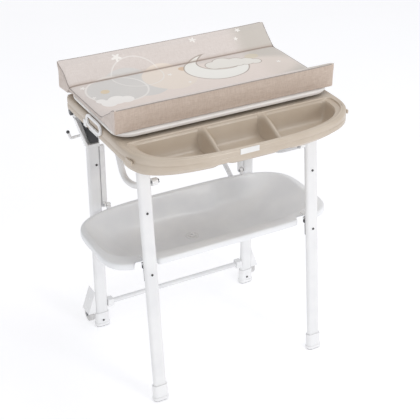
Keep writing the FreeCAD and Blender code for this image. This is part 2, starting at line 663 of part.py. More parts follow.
for name, side in SIDES.items():
    hinge_bracket(side)
    leg_bracket(side)
    side_latch(side, name)


def board_hinge():
    """Fixed hinge barrels behind the tray, the swinging ones on the board, and one long pin."""
    y, z, r = dim("board_hinge_y"), dim("board_hinge_z"), dim("board_knuckle_r")
    places = (-dim("board_hinge_x"), dim("board_hinge_x"))
    leaf_top = z + r
    fixed, swinging = [], []
    for x in places:
        for start in (x - 32, x + 12):
            fixed.append(Part.makeCylinder(r, 20, Vector(start, y, z), Vector(1, 0, 0)))
            fixed.append(Part.makeBox(20, y + r - dim("tray_rear") - 0.1, 20,
                                      Vector(start, dim("tray_rear") + 0.1, z - 26)))
            fixed.append(Part.makeBox(20, r, 8, Vector(start, y, z - 8)))
        swinging.append(Part.makeCylinder(r, 22, Vector(x - 11, y, z), Vector(1, 0, 0)))
        leaf_low = leaf_top - 2.2
        swinging.append(Part.makeBox(22, y - dim("board_rear") + 5, 2.2,
                                     Vector(x - 11, dim("board_rear") - 5, leaf_low)))
        swinging.append(Part.makeBox(
            22, 5, dim("board_bottom") - dim("running_gap") - leaf_low,
            Vector(x - 11, dim("board_rear") - 5, leaf_low)))
    hole = Part.makeCylinder(dim("board_pin_r") + dim("running_gap"), 2 * dim("board_half"),
                             Vector(-dim("board_half"), y, z), Vector(1, 0, 0))
    fixed = fixed[0].fuse(fixed[1:]).cut(hole)
    swinging = swinging[0].fuse(swinging[1:]).cut(hole)
    node(feature(fixed, "HingeFixed"), "board_hinge_base")
    node(feature(swinging, "HingeLeaf"), "board_hinge_leaf")
    for x in places:
        member(rod("x", (f"{x - 32}", "board_hinge_y", "board_hinge_z"), "board_pin_r", "64"),
               "board_hinge_pins")


def board():
    """A moulded board, hollow underneath, with a rolled edge and rounded corners."""
    half, wall = dim("board_half"), dim("board_wall")
    low, top = dim("board_bottom"), dim("board_top")

    def slab(inset, z, height, corner):
        block = Part.makeBox(2 * (half - inset), dim("board_rear") - dim("board_front") - 2 * inset,
                             height, Vector(inset - half, dim("board_front") + inset, z))
        upright = [e for e in block.Edges if abs(e.Length - height) < 0.001
                   and abs(e.Vertexes[0].Point.x - e.Vertexes[1].Point.x) < 0.001
                   and abs(e.Vertexes[0].Point.y - e.Vertexes[1].Point.y) < 0.001]
        return block.makeFillet(corner, upright)

    shell = slab(0, low, top - low, dim("board_corner"))
    rim = [e for e in shell.Edges if all(abs(v.Point.z - top) < 0.01 for v in e.Vertexes)]
    shell = shell.makeFillet(5, rim)
    return shell.cut(slab(wall, low - 1, top - low + 1 - wall, dim("board_corner") - wall))


board_hinge()
node(feature(board(), "Board"), "changing_board")


def board_pads():
    """Four rubber pads on the tray that the board rests on."""
    for x in ("pad_x", "- pad_x"):
        for y in ("pad_front", "pad_rear"):
            member(rod("z", (x, y, "tray_top + running_gap"), "pad_r",
                       "board_top - board_wall - tray_top - 3 * running_gap"),
                   "board_rest_pads")


board_pads()


def mat():
    """The padded mat: a thin bed between a front and a back wedge bolster."""
    length = dim("mat_length")
    x = dim("mat_shift") - length / 2
    low = dim("board_top") + dim("mat_gap")
    front, rear = dim("mat_front"), dim("mat_rear")
    bed = low + dim("mat_bed")
    outline = [(front, low), (dim("board_rear") + 3, low),
               (dim("board_rear") + 6, dim("back_bolster_bottom")),
               (rear - 3, dim("back_bolster_bottom")), (rear, dim("back_bolster_top") - 6),
               (rear - 5, dim("back_bolster_top")), (dim("back_bolster_crease"), bed),
               (front + dim("front_bolster_depth"), bed), (front + 8, low + dim("front_bolster")),
               (front + 2, low + dim("front_bolster") - 3)]
    points = [Vector(x, y, z) for y, z in outline]
    return Part.Face(Part.makePolygon(points + points[:1])).extrude(Vector(length, 0, 0))


node(feature(mat(), "Mat"), "changing_mat")


# ---------------------------------------------------------------- front legs
def front_leg(side, name):
    reach = "hypot( front_pivot_y - front_foot_y ; front_pivot_z )"
    leg = oval_body("FrontLeg", [
        ("Pad", "leg_width", "leg_depth", "leg_plug", f"{reach} - 16 - leg_plug"),
        ("Pocket", "leg_width - 2 * leg_wall", "leg_depth - 2 * leg_wall", "leg_plug",
         f"{reach} - 16 - leg_plug"),
    ])
    node(lean(leg, side), f"{name}_front_leg")
    knuckle = Part.makeCylinder(dim("leg_depth") / 2, dim("leg_width"),
                                Vector(-dim("leg_width") / 2, 0, LEG_REACH), Vector(1, 0, 0))
    neck = Part.makeBox(dim("leg_width"), dim("leg_depth"), 15.8,
                        Vector(-dim("leg_width") / 2, -dim("leg_depth") / 2, LEG_REACH - 15.8))
    plug = Part.makeBox(dim("leg_width") / 2, dim("leg_depth") / 2, 40,
                        Vector(-dim("leg_width") / 4, -dim("leg_depth") / 4, LEG_REACH - 50))
    bore = Part.makeCylinder(dim("pin_r") + dim("running_gap"), 2 * dim("leg_width"),
                             Vector(-dim("leg_width"), 0, LEG_REACH), Vector(1, 0, 0))
    eye = feature(knuckle.fuse([neck, plug]).cut(bore), "LegEye")
    node(lean(eye, side), f"{name}_leg_eye")


def front_foot(side, name):
    """A cap that follows the leaning leg and ends flat on its rubber sole."""
    flange = "foot_flange"
    cap = oval_body("FrontFoot", [
        ("Pad", f"leg_width + 3 * {flange}", f"leg_depth + 3 * {flange}", "0 - leg_plug",
         "foot_lip + leg_plug"),
        ("Pad", f"leg_width + 2 * {flange}", f"leg_depth + 2 * {flange}", "0 - leg_plug",
         "foot_height + leg_plug"),
        ("Pocket", "leg_width + 2 * running_gap", "leg_depth + 2 * running_gap",
         "leg_plug - running_gap", "foot_height"),
    ])
    lean(cap, side)
    under = box(("0 - 2 * leg_x", "2 * leg_x"), ("2 * front_foot_y", "0"), ("0 - 80", "sole"))
    node(cut(cap, under), f"{name}_front_foot")
    sole = oval_body("FrontSole", [
        ("Pad", f"leg_width + 2 * {flange}", f"leg_depth + 2 * {flange}", "0", "sole")])
    place(sole, f"{side} * leg_x", "front_foot_y", "0")
    node(sole, f"{name}_front_sole")


def leg_box(side, x, out, up):
    """A block in the front leg's own frame: out is behind the axis, up is along the leg."""
    block = Part.makeBox(x[1] - x[0], out[1] - out[0], up[1] - up[0],
                         Vector(x[0], out[0], up[0]))
    block.Placement = Placement(Vector(side * dim("leg_x"), dim("front_foot_y"), 0),
                                Rotation(Vector(1, 0, 0), -math.degrees(LEAN)))
    return block


def basin_hook(side, name):
    """The fork on the back of the front leg whose two open slots cradle the basin's front pin."""
    y = dim("front_pivot_y") + dim("basin_pin_y") - dim("rear_leg_y")
    z = dim("front_pivot_z") + dim("basin_pin_z") - dim("hinge_z")
    face = dim("leg_depth") / 2 + 0.1
    up = (y - dim("front_foot_y")) * math.sin(LEAN) + z * math.cos(LEAN)
    plate = leg_box(side, (-20, 20), (face, face + 1.6), (up - 60, up + 4))
    cheeks = [leg_box(side, span, (face, face + 12), (up - 16, up + 4))
              for span in ((-20, -10), (10, 20))]
    slot_r = dim("small_pin_r") + 0.3
    x0 = side * dim("leg_x") - 30
    slot = Part.makeCylinder(slot_r, 60, Vector(x0, y, z), Vector(1, 0, 0))
    mouth = Part.makeBox(60, 2 * slot_r, 20, Vector(x0, y - slot_r, z))
    fork = plate.fuse(cheeks).cut([slot, mouth])
    node(feature(fork, "BasinHook"), f"{name}_basin_hook")


def leg_screws(side, name):
    """Screw heads on the front face of the front leg."""
    heads = []
    thick = dim("screw_head")
    for up in (dim("leg_screw_low"), dim("leg_screw_high")):
        head = Part.makeCylinder(dim("screw_r"), thick,
                                 Vector(0, -dim("leg_depth") / 2 - thick - 0.1, up),
                                 Vector(0, 1, 0))
        head.Placement = Placement(Vector(side * dim("leg_x"), dim("front_foot_y"), 0),
                                   Rotation(Vector(1, 0, 0), -math.degrees(LEAN)))
        heads.append(head)
    node(feature(Part.makeCompound(heads), "LegScrews"), f"{name}_leg_screws")


def stay_front_pin(side, name):
    stem = side_rod(side, ("stay_x - 13", "leg_x - leg_width / 2 - running_gap"), STAY_PIN_Y,
                    "stay_pin_z", "small_pin_r")
    disc = side_rod(side, ("stay_x - 15.5", "stay_x - 12.5"), STAY_PIN_Y, "stay_pin_z",
                    "small_pin_r + 3")
    node(fuse(stem, disc), f"{name}_stay_front_pin")


for name, side in SIDES.items():
    front_leg(side, name)
    front_foot(side, name)
    basin_hook(side, name)
    leg_screws(side, name)
    stay_front_pin(side, name)


# ---------------------------------------------------------------- side stays
def side_stay(side, name):
    """A curved tube between front leg and hinge head, with an eye at each end."""
    x = side * dim("stay_x")
    slope = (dim("front_pivot_y") - dim("front_foot_y")) / dim("front_pivot_z")
    front = Vector(x, dim("front_foot_y") + slope * dim("stay_pin_z"), dim("stay_pin_z"))
    rear = front + Vector(0, dim("rear_leg_y") - dim("front_pivot_y"),
                          dim("hinge_z") - dim("front_pivot_z"))
    sag = dim("stay_sag_z")
    span = rear.y - front.y
    path = rounded_path([front, Vector(x, front.y + 0.3733 * span, sag + 4),
                         Vector(x, front.y + 0.584 * span, sag - 4),
                         Vector(x, front.y + 0.7203 * span, rear.z), rear], [200, 50, 60])
    tube = tube_along(path, dim("stay_r"), dim("stay_wall"))
    half = dim("stay_eye") / 2
    eyes = [Part.makeCylinder(dim("stay_eye_r"), 2 * half, end - Vector(half, 0, 0),
                              Vector(1, 0, 0)) for end in (front, rear)]
    bores = [Part.makeCylinder(dim("small_pin_r") + dim("running_gap"), 4 * half,
                               end - Vector(2 * half, 0, 0), Vector(1, 0, 0))
             for end in (front, rear)]
    node(feature(tube.fuse(eyes).cut(bores), "Stay"), f"{name}_side_stay")


for name, side in SIDES.items():
    side_stay(side, name)


# ---------------------------------------------------------------- basin
def basin():
    wall, top = dim("basin_wall"), dim("rim_top")
    y_mid, half = dim("basin_mid"), dim("basin_half")

    def rim_wire(inset, z):
        back = superellipse(half - inset, y_mid, dim("basin_back") - y_mid - inset, 3.5, z,
                            (0, math.pi), 24)
        front = superellipse(half - inset, y_mid, y_mid - dim("basin_front") - inset, 6.0, z,
                             (math.pi, 2 * math.pi), 24)
        curves = []
        for points in (back, front):
            curve = Part.BSplineCurve()
            curve.interpolate(points)
            curves.append(curve.toShape())
        return Part.Wire(curves)

    def tub_wire(out, z, half_x, front, back):
        mid, reach = (front + back) / 2, (back - front) / 2
        return closed_curve(superellipse(half_x + out, mid, reach + out, 4.0, z))

    levels = [(dim("tub_floor"), dim("floor_half"), dim("floor_front"), dim("floor_back")),
              (dim("tub_floor") + 0.55 * (top - dim("tub_floor")), 0.8625 * dim("tub_half"),
               dim("tub_front") + 76.5, dim("tub_back") - 12.5),
              (top, dim("tub_half"), dim("tub_front"), dim("tub_back"))]
    rim = prism(rim_wire(0, top - dim("rim_skirt")), dim("rim_skirt"))
    under = prism(rim_wire(wall, top - dim("rim_skirt") - 1), dim("rim_skirt") + 1 - wall)
    rim = rim.cut(under)
    notches = []
    for side in SIDES.values():
        notches.append(Part.makeBox(dim("notch_width"), dim("notch_depth") + 20, 60, Vector(
            side * dim("leg_x") - dim("notch_width") / 2, dim("basin_front") - 20, top - 40)))
    rim = rim.cut(notches)
    outer = Part.makeLoft([tub_wire(wall, levels[0][0] - wall, *levels[0][1:])]
                          + [tub_wire(wall, z, *rest) for z, *rest in levels[1:]], True, False)
    inner = Part.makeLoft([tub_wire(0, z, *rest) for z, *rest in levels], True, False)
    lid = prism(tub_wire(0, top, *levels[2][1:]), 5)
    shape = rim.fuse(outer).cut([inner, lid])
    drain = Part.makeCylinder(dim("drain_r") + 0.4, 30, Vector(0, dim("drain_y"), dim("tub_floor") - 12))
    shape = shape.cut(drain)
    y = dim("front_pivot_y") + dim("basin_pin_y") - dim("rear_leg_y")
    z = dim("front_pivot_z") + dim("basin_pin_z") - dim("hinge_z")
    lugs = []
    for side in SIDES.values():
        middle = side * dim("leg_x")
        lugs.append(Part.makeBox(14, dim("tub_front") - y - 2, 6.8,
                                 Vector(middle - 7, y, z - 3.4)))
        lugs.append(Part.makeCylinder(dim("small_pin_r"), 40, Vector(middle - 20, y, z),
                                      Vector(1, 0, 0)))
        ear_x = dim("rail_inner_x") - 3.5 if side > 0 else -(dim("rail_inner_x") + 9.5)
        lugs.append(Part.makeBox(13, 15, 16, Vector(ear_x, dim("basin_pin_y") - 15, top - 6)))
        lugs.append(Part.makeCylinder(7, 13, Vector(ear_x, dim("basin_pin_y"),
                                                    dim("basin_pin_z")), Vector(1, 0, 0)))
    shape = shape.fuse(lugs)
    bores = [Part.makeCylinder(dim("small_pin_r") + dim("running_gap"), 40, Vector(
        side * dim("rail_inner_x") - 20, dim("basin_pin_y"), dim("basin_pin_z")),
        Vector(1, 0, 0)) for side in SIDES.values()]
    return shape.cut(bores)


node(feature(basin(), "Basin"), "bath_basin")


def drain_parts():
    floor, r = dim("tub_floor"), dim("drain_r")
    seat = Part.makeCylinder(r, 11, Vector(0, dim("drain_y"), floor - 10))
    flange = Part.makeCylinder(r + 5, 1.2, Vector(0, dim("drain_y"), floor + 0.05))
    hole = Part.makeCylinder(10.05, 20, Vector(0, dim("drain_y"), floor - 12))
    node(feature(seat.fuse(flange).cut(hole), "DrainSeat"), "drain_seat")
    stopper = Part.makeCylinder(10, 10, Vector(0, dim("drain_y"), floor - 8))
    disc = Part.makeCylinder(13, 2.5, Vector(0, dim("drain_y"), floor + 1.4))
    knob = Part.makeCylinder(4, 8, Vector(0, dim("drain_y"), floor + 3))
    node(feature(stopper.fuse([disc, knob]), "DrainPlug"), "drain_plug")


def drain_hose():
    """The drain hose: out of the back of the tub, then up behind the rim."""
    x, y, r = dim("hose_x"), dim("hose_y"), dim("hose_r")
    start = Vector(0, dim("tub_back") - 4.5, dim("rim_top") - 67)
    points = [start + Vector(x - 12, 0, 0), Vector(x, y, start.z), Vector(x - 2, y, start.z + 46),
              Vector(x - dim("hose_lean"), y, dim("hose_top"))]
    path = rounded_path(points, [18, 40])
    hose = tube_along(path, r)
    node(feature(hose.cut(doc.getObject("Basin").Shape), "Hose"), "drain_hose")
    way = (points[3] - points[2]).normalize()
    cap = Part.makeCylinder(r + 1.5, 12, points[3] + way * 0.05, way)
    node(feature(cap, "HoseCap"), "hose_end_cap")


drain_parts()
drain_hose()


# ---------------------------------------------------------------- check and write
for label, members in GROUPS.items():
    group = doc.addObject("Part::Compound", "Group")
    group.Links = members
    node(group, label)
doc.recompute()
faults = [f"{o.Label}: {o.State}" for o in doc.Objects
          if "Invalid" in o.State or "Error" in o.State]
for piece in NODES:
    if piece.Shape.isNull() or not piece.Shape.isValid() or not piece.Shape.Solids:
        faults.append(f"{piece.Label}: no valid solid")
if faults:
    raise RuntimeError("; ".join(faults))
for piece in NODES:
    piece.Shape.exportStep(f"parts/{piece.Label}.step")
print(len(NODES), "nodes written")
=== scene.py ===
"""Looks of the folding changing table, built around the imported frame.

Frame: +X right, +Y back, +Z up, metres.  Lengths below are in millimetres unless a name says
otherwise; MM turns them into metres.
"""
import math

import bmesh
import bpy
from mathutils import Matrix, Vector


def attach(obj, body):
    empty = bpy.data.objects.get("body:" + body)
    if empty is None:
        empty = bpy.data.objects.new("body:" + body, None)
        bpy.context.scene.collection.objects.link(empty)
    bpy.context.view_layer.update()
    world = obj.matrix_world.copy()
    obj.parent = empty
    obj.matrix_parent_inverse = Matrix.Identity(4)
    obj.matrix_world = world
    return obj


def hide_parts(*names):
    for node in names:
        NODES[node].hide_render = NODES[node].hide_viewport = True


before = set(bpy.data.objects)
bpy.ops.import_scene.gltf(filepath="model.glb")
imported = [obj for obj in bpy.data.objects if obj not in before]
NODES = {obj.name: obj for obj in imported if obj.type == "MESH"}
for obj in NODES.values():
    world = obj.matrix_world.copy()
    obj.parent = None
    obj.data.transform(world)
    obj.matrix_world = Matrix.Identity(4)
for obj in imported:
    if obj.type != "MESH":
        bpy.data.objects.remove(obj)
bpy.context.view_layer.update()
MM = 0.001
SIDES = {"left": -1, "right": 1}


# ================================================================ mesh helpers
def srgb(r, g, b):
    """A colour given as display values 0-255, as linear light."""
    def linear(c):
        c /= 255
        return c / 12.92 if c <= 0.04045 else ((c + 0.055) / 1.055) ** 2.4
    return (linear(r), linear(g), linear(b), 1.0)


def mesh_piece(name, verts, faces, smooth_angle=40):
    """A linked object from points in millimetres, smooth up to the angle in degrees."""
    mesh = bpy.data.meshes.new(name)
    mesh.from_pydata([Vector(v) * MM for v in verts], [], faces)
    bm = bmesh.new()
    bm.from_mesh(mesh)
    bmesh.ops.remove_doubles(bm, verts=bm.verts, dist=1e-6)
    bmesh.ops.recalc_face_normals(bm, faces=bm.faces)
    bm.to_mesh(mesh)
    bm.free()
    mesh.shade_smooth()
    mesh.set_sharp_from_angle(angle=math.radians(smooth_angle))
    piece = bpy.data.objects.new(name, mesh)
    bpy.context.scene.collection.objects.link(piece)
    return piece


def loft(rings):
    """Quads between rings of equally many points, with both ends closed, as (verts, faces)."""
    n = len(rings[0])
    verts = [p for ring in rings for p in ring]
    faces = []
    for i in range(len(rings) - 1):
        for j in range(n):
            k = (j + 1) % n
            faces.append((i * n + j, i * n + k, (i + 1) * n + k, (i + 1) * n + j))
    faces.append(tuple(reversed(range(n))))
    faces.append(tuple((len(rings) - 1) * n + j for j in range(n)))
    return verts, faces


def merged(*parts):
    """Several (verts, faces) as one."""
    verts, faces = [], []
    for v, f in parts:
        base = len(verts)
        verts += v
        faces += [tuple(base + i for i in face) for face in f]
    return verts, faces


def settle(piece, body, material, replaces=(), bevel=0.0, segments=2, subdivide=0):
    """Modifiers, material and body of one piece, with the frame parts it replaces hidden."""
    if bevel:
        mod = piece.modifiers.new("Bevel", "BEVEL")
        mod.width = bevel * MM
        mod.segments = segments
        mod.limit_method = "ANGLE"
        mod.angle_limit = math.radians(32)
        mod.use_clamp_overlap = True
    if subdivide:
        mod = piece.modifiers.new("Subdivision", "SUBSURF")
        mod.levels = mod.render_levels = subdivide
    piece.data.materials.clear()
    piece.data.materials.append(material)
    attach(piece, body)
    if replaces:
        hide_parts(*replaces)
    return piece


def softened(node, width, body, material, segments=3):
    """A finished copy of a frame part, with its hard edges rounded."""
    mesh = NODES[node].data.copy()
    bm = bmesh.new()
    bm.from_mesh(mesh)
    bmesh.ops.remove_doubles(bm, verts=bm.verts, dist=2e-5)
    bmesh.ops.dissolve_limit(bm, angle_limit=math.radians(1.5), verts=bm.verts, edges=bm.edges)
    bmesh.ops.recalc_face_normals(bm, faces=bm.faces)
    bm.to_mesh(mesh)
    bm.free()
    mesh.shade_smooth()
    mesh.set_sharp_from_angle(angle=math.radians(30))
    piece = bpy.data.objects.new(node + "_finished", mesh)
    bpy.context.scene.collection.objects.link(piece)
    return settle(piece, body, material, [node], bevel=width, segments=segments)


def resample(points, count):
    """Evenly spaced points along an open polyline."""
    lengths = [0.0]
    for a, b in zip(points, points[1:]):
        lengths.append(lengths[-1] + (Vector(b) - Vector(a)).length)
    out, i = [], 0
    for k in range(count):
        want = lengths[-1] * k / (count - 1)
        while i < len(points) - 2 and lengths[i + 1] < want:
            i += 1
        span = lengths[i + 1] - lengths[i] or 1.0
        t = (want - lengths[i]) / span
        out.append(tuple(Vector(points[i]).lerp(Vector(points[i + 1]), t)))
    return out


def arc(cx, cy, r, start, end, count):
    """Points of an arc, angles in degrees."""
    points = []
    for k in range(count):
        a = math.radians(start + (end - start) * k / (count - 1))
        points.append((cx + r * math.cos(a), cy + r * math.sin(a)))
    return points


def superellipse(half, y_mid, reach, power, start, end, count):
    """Points of a superellipse about (0, y_mid), angles in degrees."""
    points = []
    for k in range(count):
        a = math.radians(start + (end - start) * k / (count - 1))
        c, s = math.cos(a), math.sin(a)
        points.append((half * math.copysign(abs(c) ** (2 / power), c),
                       y_mid + reach * math.copysign(abs(s) ** (2 / power), s)))
    return points


def smooth01(t):
    """0 below 0, 1 above 1, and a smooth step between."""
    t = min(1.0, max(0.0, t))
    return t * t * (3 - 2 * t)


# ================================================================ material helpers
class Shader:
    """A Principled material and short names for the nodes that feed it."""

    def __init__(self, name, roughness, **inputs):
        self.mat = bpy.data.materials.new(name)
        self.mat.use_nodes = True
        self.tree = self.mat.node_tree
        self.bsdf = self.tree.nodes["Principled BSDF"]
        self.bsdf.inputs["Roughness"].default_value = roughness
        for key, value in inputs.items():
            self.bsdf.inputs[key.replace("_", " ")].default_value = value
        self.place = self.tree.nodes.new("ShaderNodeTexCoord").outputs["Object"]

    def link(self, source, target):
        if isinstance(source, (int, float, tuple)):
            target.default_value = source
        else:
            self.tree.links.new(source, target)

    def math(self, op, a, b=0.0):
        node = self.tree.nodes.new("ShaderNodeMath")
        node.operation = op
        for value, socket in zip((a, b), node.inputs):
            self.link(value, socket)
        return node.outputs[0]

    def scaled(self, vector, factors):
        node = self.tree.nodes.new("ShaderNodeVectorMath")
        node.operation = "MULTIPLY"
        self.link(vector, node.inputs[0])
        node.inputs[1].default_value = factors
        return node.outputs[0]

    def noise(self, scale, detail=3.0, vector=None, rough=0.5):
        node = self.tree.nodes.new("ShaderNodeTexNoise")
        self.link(vector or self.place, node.inputs["Vector"])
        node.inputs["Scale"].default_value = scale
        node.inputs["Detail"].default_value = detail
        node.inputs["Roughness"].default_value = rough
        return node.outputs["Fac"]

    def spread(self, value, low, high, out_low=0.0, out_high=1.0):
        node = self.tree.nodes.new("ShaderNodeMapRange")
        node.interpolation_type = "SMOOTHSTEP"
        for v, socket in zip((value, low, high, out_low, out_high), node.inputs):
            self.link(v, socket)
        return node.outputs[0]

    def mix(self, factor, a, b):
        node = self.tree.nodes.new("ShaderNodeMix")
        node.data_type = "RGBA"
        self.link(factor, node.inputs["Factor"])
        self.link(a, node.inputs[6])
        self.link(b, node.inputs[7])
        return node.outputs[2]

    def colour(self, value):
        self.link(value, self.bsdf.inputs["Base Color"])

    def roughness(self, value):
        self.link(value, self.bsdf.inputs["Roughness"])

    def bump(self, height, strength, distance_m):
        node = self.tree.nodes.new("ShaderNodeBump")
        node.inputs["Strength"].default_value = strength
        node.inputs["Distance"].default_value = distance_m
        self.link(height, node.inputs["Height"])
        self.link(node.outputs[0], self.bsdf.inputs["Normal"])


def moulded(name, colour, shade, roughness, grain=1400.0, grain_depth_m=0.00004, **inputs):
    """Moulded or coated surface: faint cloudy colour, fine grain, uneven gloss."""
    s = Shader(name, roughness, **inputs)
    clouds = s.noise(9.0, 3.0)
    fine = s.noise(grain, 2.0)
    s.colour(s.mix(s.spread(clouds, 0.35, 0.65), colour, shade))
    s.roughness(s.math("ADD", s.math("MULTIPLY", s.noise(35.0, 4.0), 0.12), roughness - 0.06))
    s.bump(s.math("ADD", fine, s.math("MULTIPLY", s.noise(60.0, 2.0), 1.5)), 0.5, grain_depth_m)
    return s.mat


WHITE_PAINT = moulded("white_powder_coat", srgb(238, 238, 238), srgb(232, 232, 233), 0.34,
                      grain=1100.0, grain_depth_m=0.00005, Coat_Weight=0.2)
WHITE_PLASTIC = moulded("white_moulded_plastic", srgb(242, 242, 242), srgb(237, 237, 238), 0.26,
                        grain_depth_m=0.00002, Coat_Weight=0.15)
BASIN_PLASTIC = moulded("basin_plastic", srgb(240, 241, 242), srgb(235, 236, 238), 0.34,
                        grain_depth_m=0.000015, Coat_Weight=0.08)
BEIGE = moulded("beige_satin_plastic", srgb(199, 186, 170), srgb(194, 180, 163), 0.33,
                grain_depth_m=0.00003, Coat_Weight=0.1)
BOARD_WHITE = moulded("board_plastic", srgb(238, 235, 232), srgb(232, 229, 226), 0.36)
GREY_PLASTIC = moulded("light_grey_plastic", srgb(205, 204, 203), srgb(196, 195, 194), 0.4)
LABEL_WHITE = moulded("label_plate", srgb(236, 235, 232), srgb(228, 227, 225), 0.3)
DARK = moulded("dark_grey_plastic", srgb(74, 74, 76), srgb(62, 62, 65), 0.42)
# painted shade: dark colour of the blocks that stand for the shadowed hollow in the hinge heads
HOLLOW_SHADE = moulded("painted_hollow_shade", srgb(66, 67, 70), srgb(44, 45, 48), 0.36)
RUBBER = moulded("matt_rubber", srgb(70, 70, 72), srgb(58, 58, 60), 0.75,
                 grain_depth_m=0.00008)


def steel():
    s = Shader("plain_steel", 0.35, Metallic=1.0)
    streaks = s.noise(300.0, 3.0, s.scaled(s.place, (0.08, 1.0, 1.0)))
    s.colour(s.mix(streaks, srgb(150, 151, 154), srgb(112, 113, 117)))
    s.roughness(s.math("ADD", s.math("MULTIPLY", streaks, 0.2), 0.25))
    s.bump(streaks, 0.3, 0.00003)
    return s.mat


def screw_dark():
    s = Shader("screw_metal", 0.4, Metallic=0.7)
    swirl = s.noise(900.0, 2.0)
    s.colour(s.mix(swirl, srgb(92, 90, 90), srgb(66, 65, 66)))
    s.bump(swirl, 0.4, 0.0001)
    return s.mat


STEEL, SCREW = steel(), screw_dark()


# ================================================================ printed cover of the mat
def linen(name, colour, shade, contrast=1.0):
    """Woven cover: slubs both ways, thread bump and a slight sheen."""
    s = Shader(name, 0.78, Sheen_Weight=0.25, Sheen_Roughness=0.5)
    slub_x = s.noise(520.0, 4.0, s.scaled(s.place, (0.10, 1.0, 1.0)), 0.6)
    slub_y = s.noise(520.0, 4.0, s.scaled(s.place, (1.0, 0.10, 0.10)), 0.6)
    weave = s.math("MULTIPLY", s.math("ADD", slub_x, slub_y), 0.5)
    tone = s.spread(weave, 0.5 - 0.16 / contrast, 0.5 + 0.16 / contrast)
    wide = s.noise(14.0, 4.0, s.scaled(s.place, (0.5, 1.5, 1.5)))
    base = s.mix(tone, colour, shade)
    base = s.mix(s.spread(wide, 0.3, 0.7, 0.0, 0.25), base, shade)
    threads = s.math("ADD", s.noise(1500.0, 2.0, s.scaled(s.place, (0.2, 1, 1))),
                     s.noise(1500.0, 2.0, s.scaled(s.place, (1, 0.2, 0.2))))
    s.bump(s.math("ADD", threads, s.math("MULTIPLY", weave, 2.0)), 0.6, 0.00018)
    return s, base


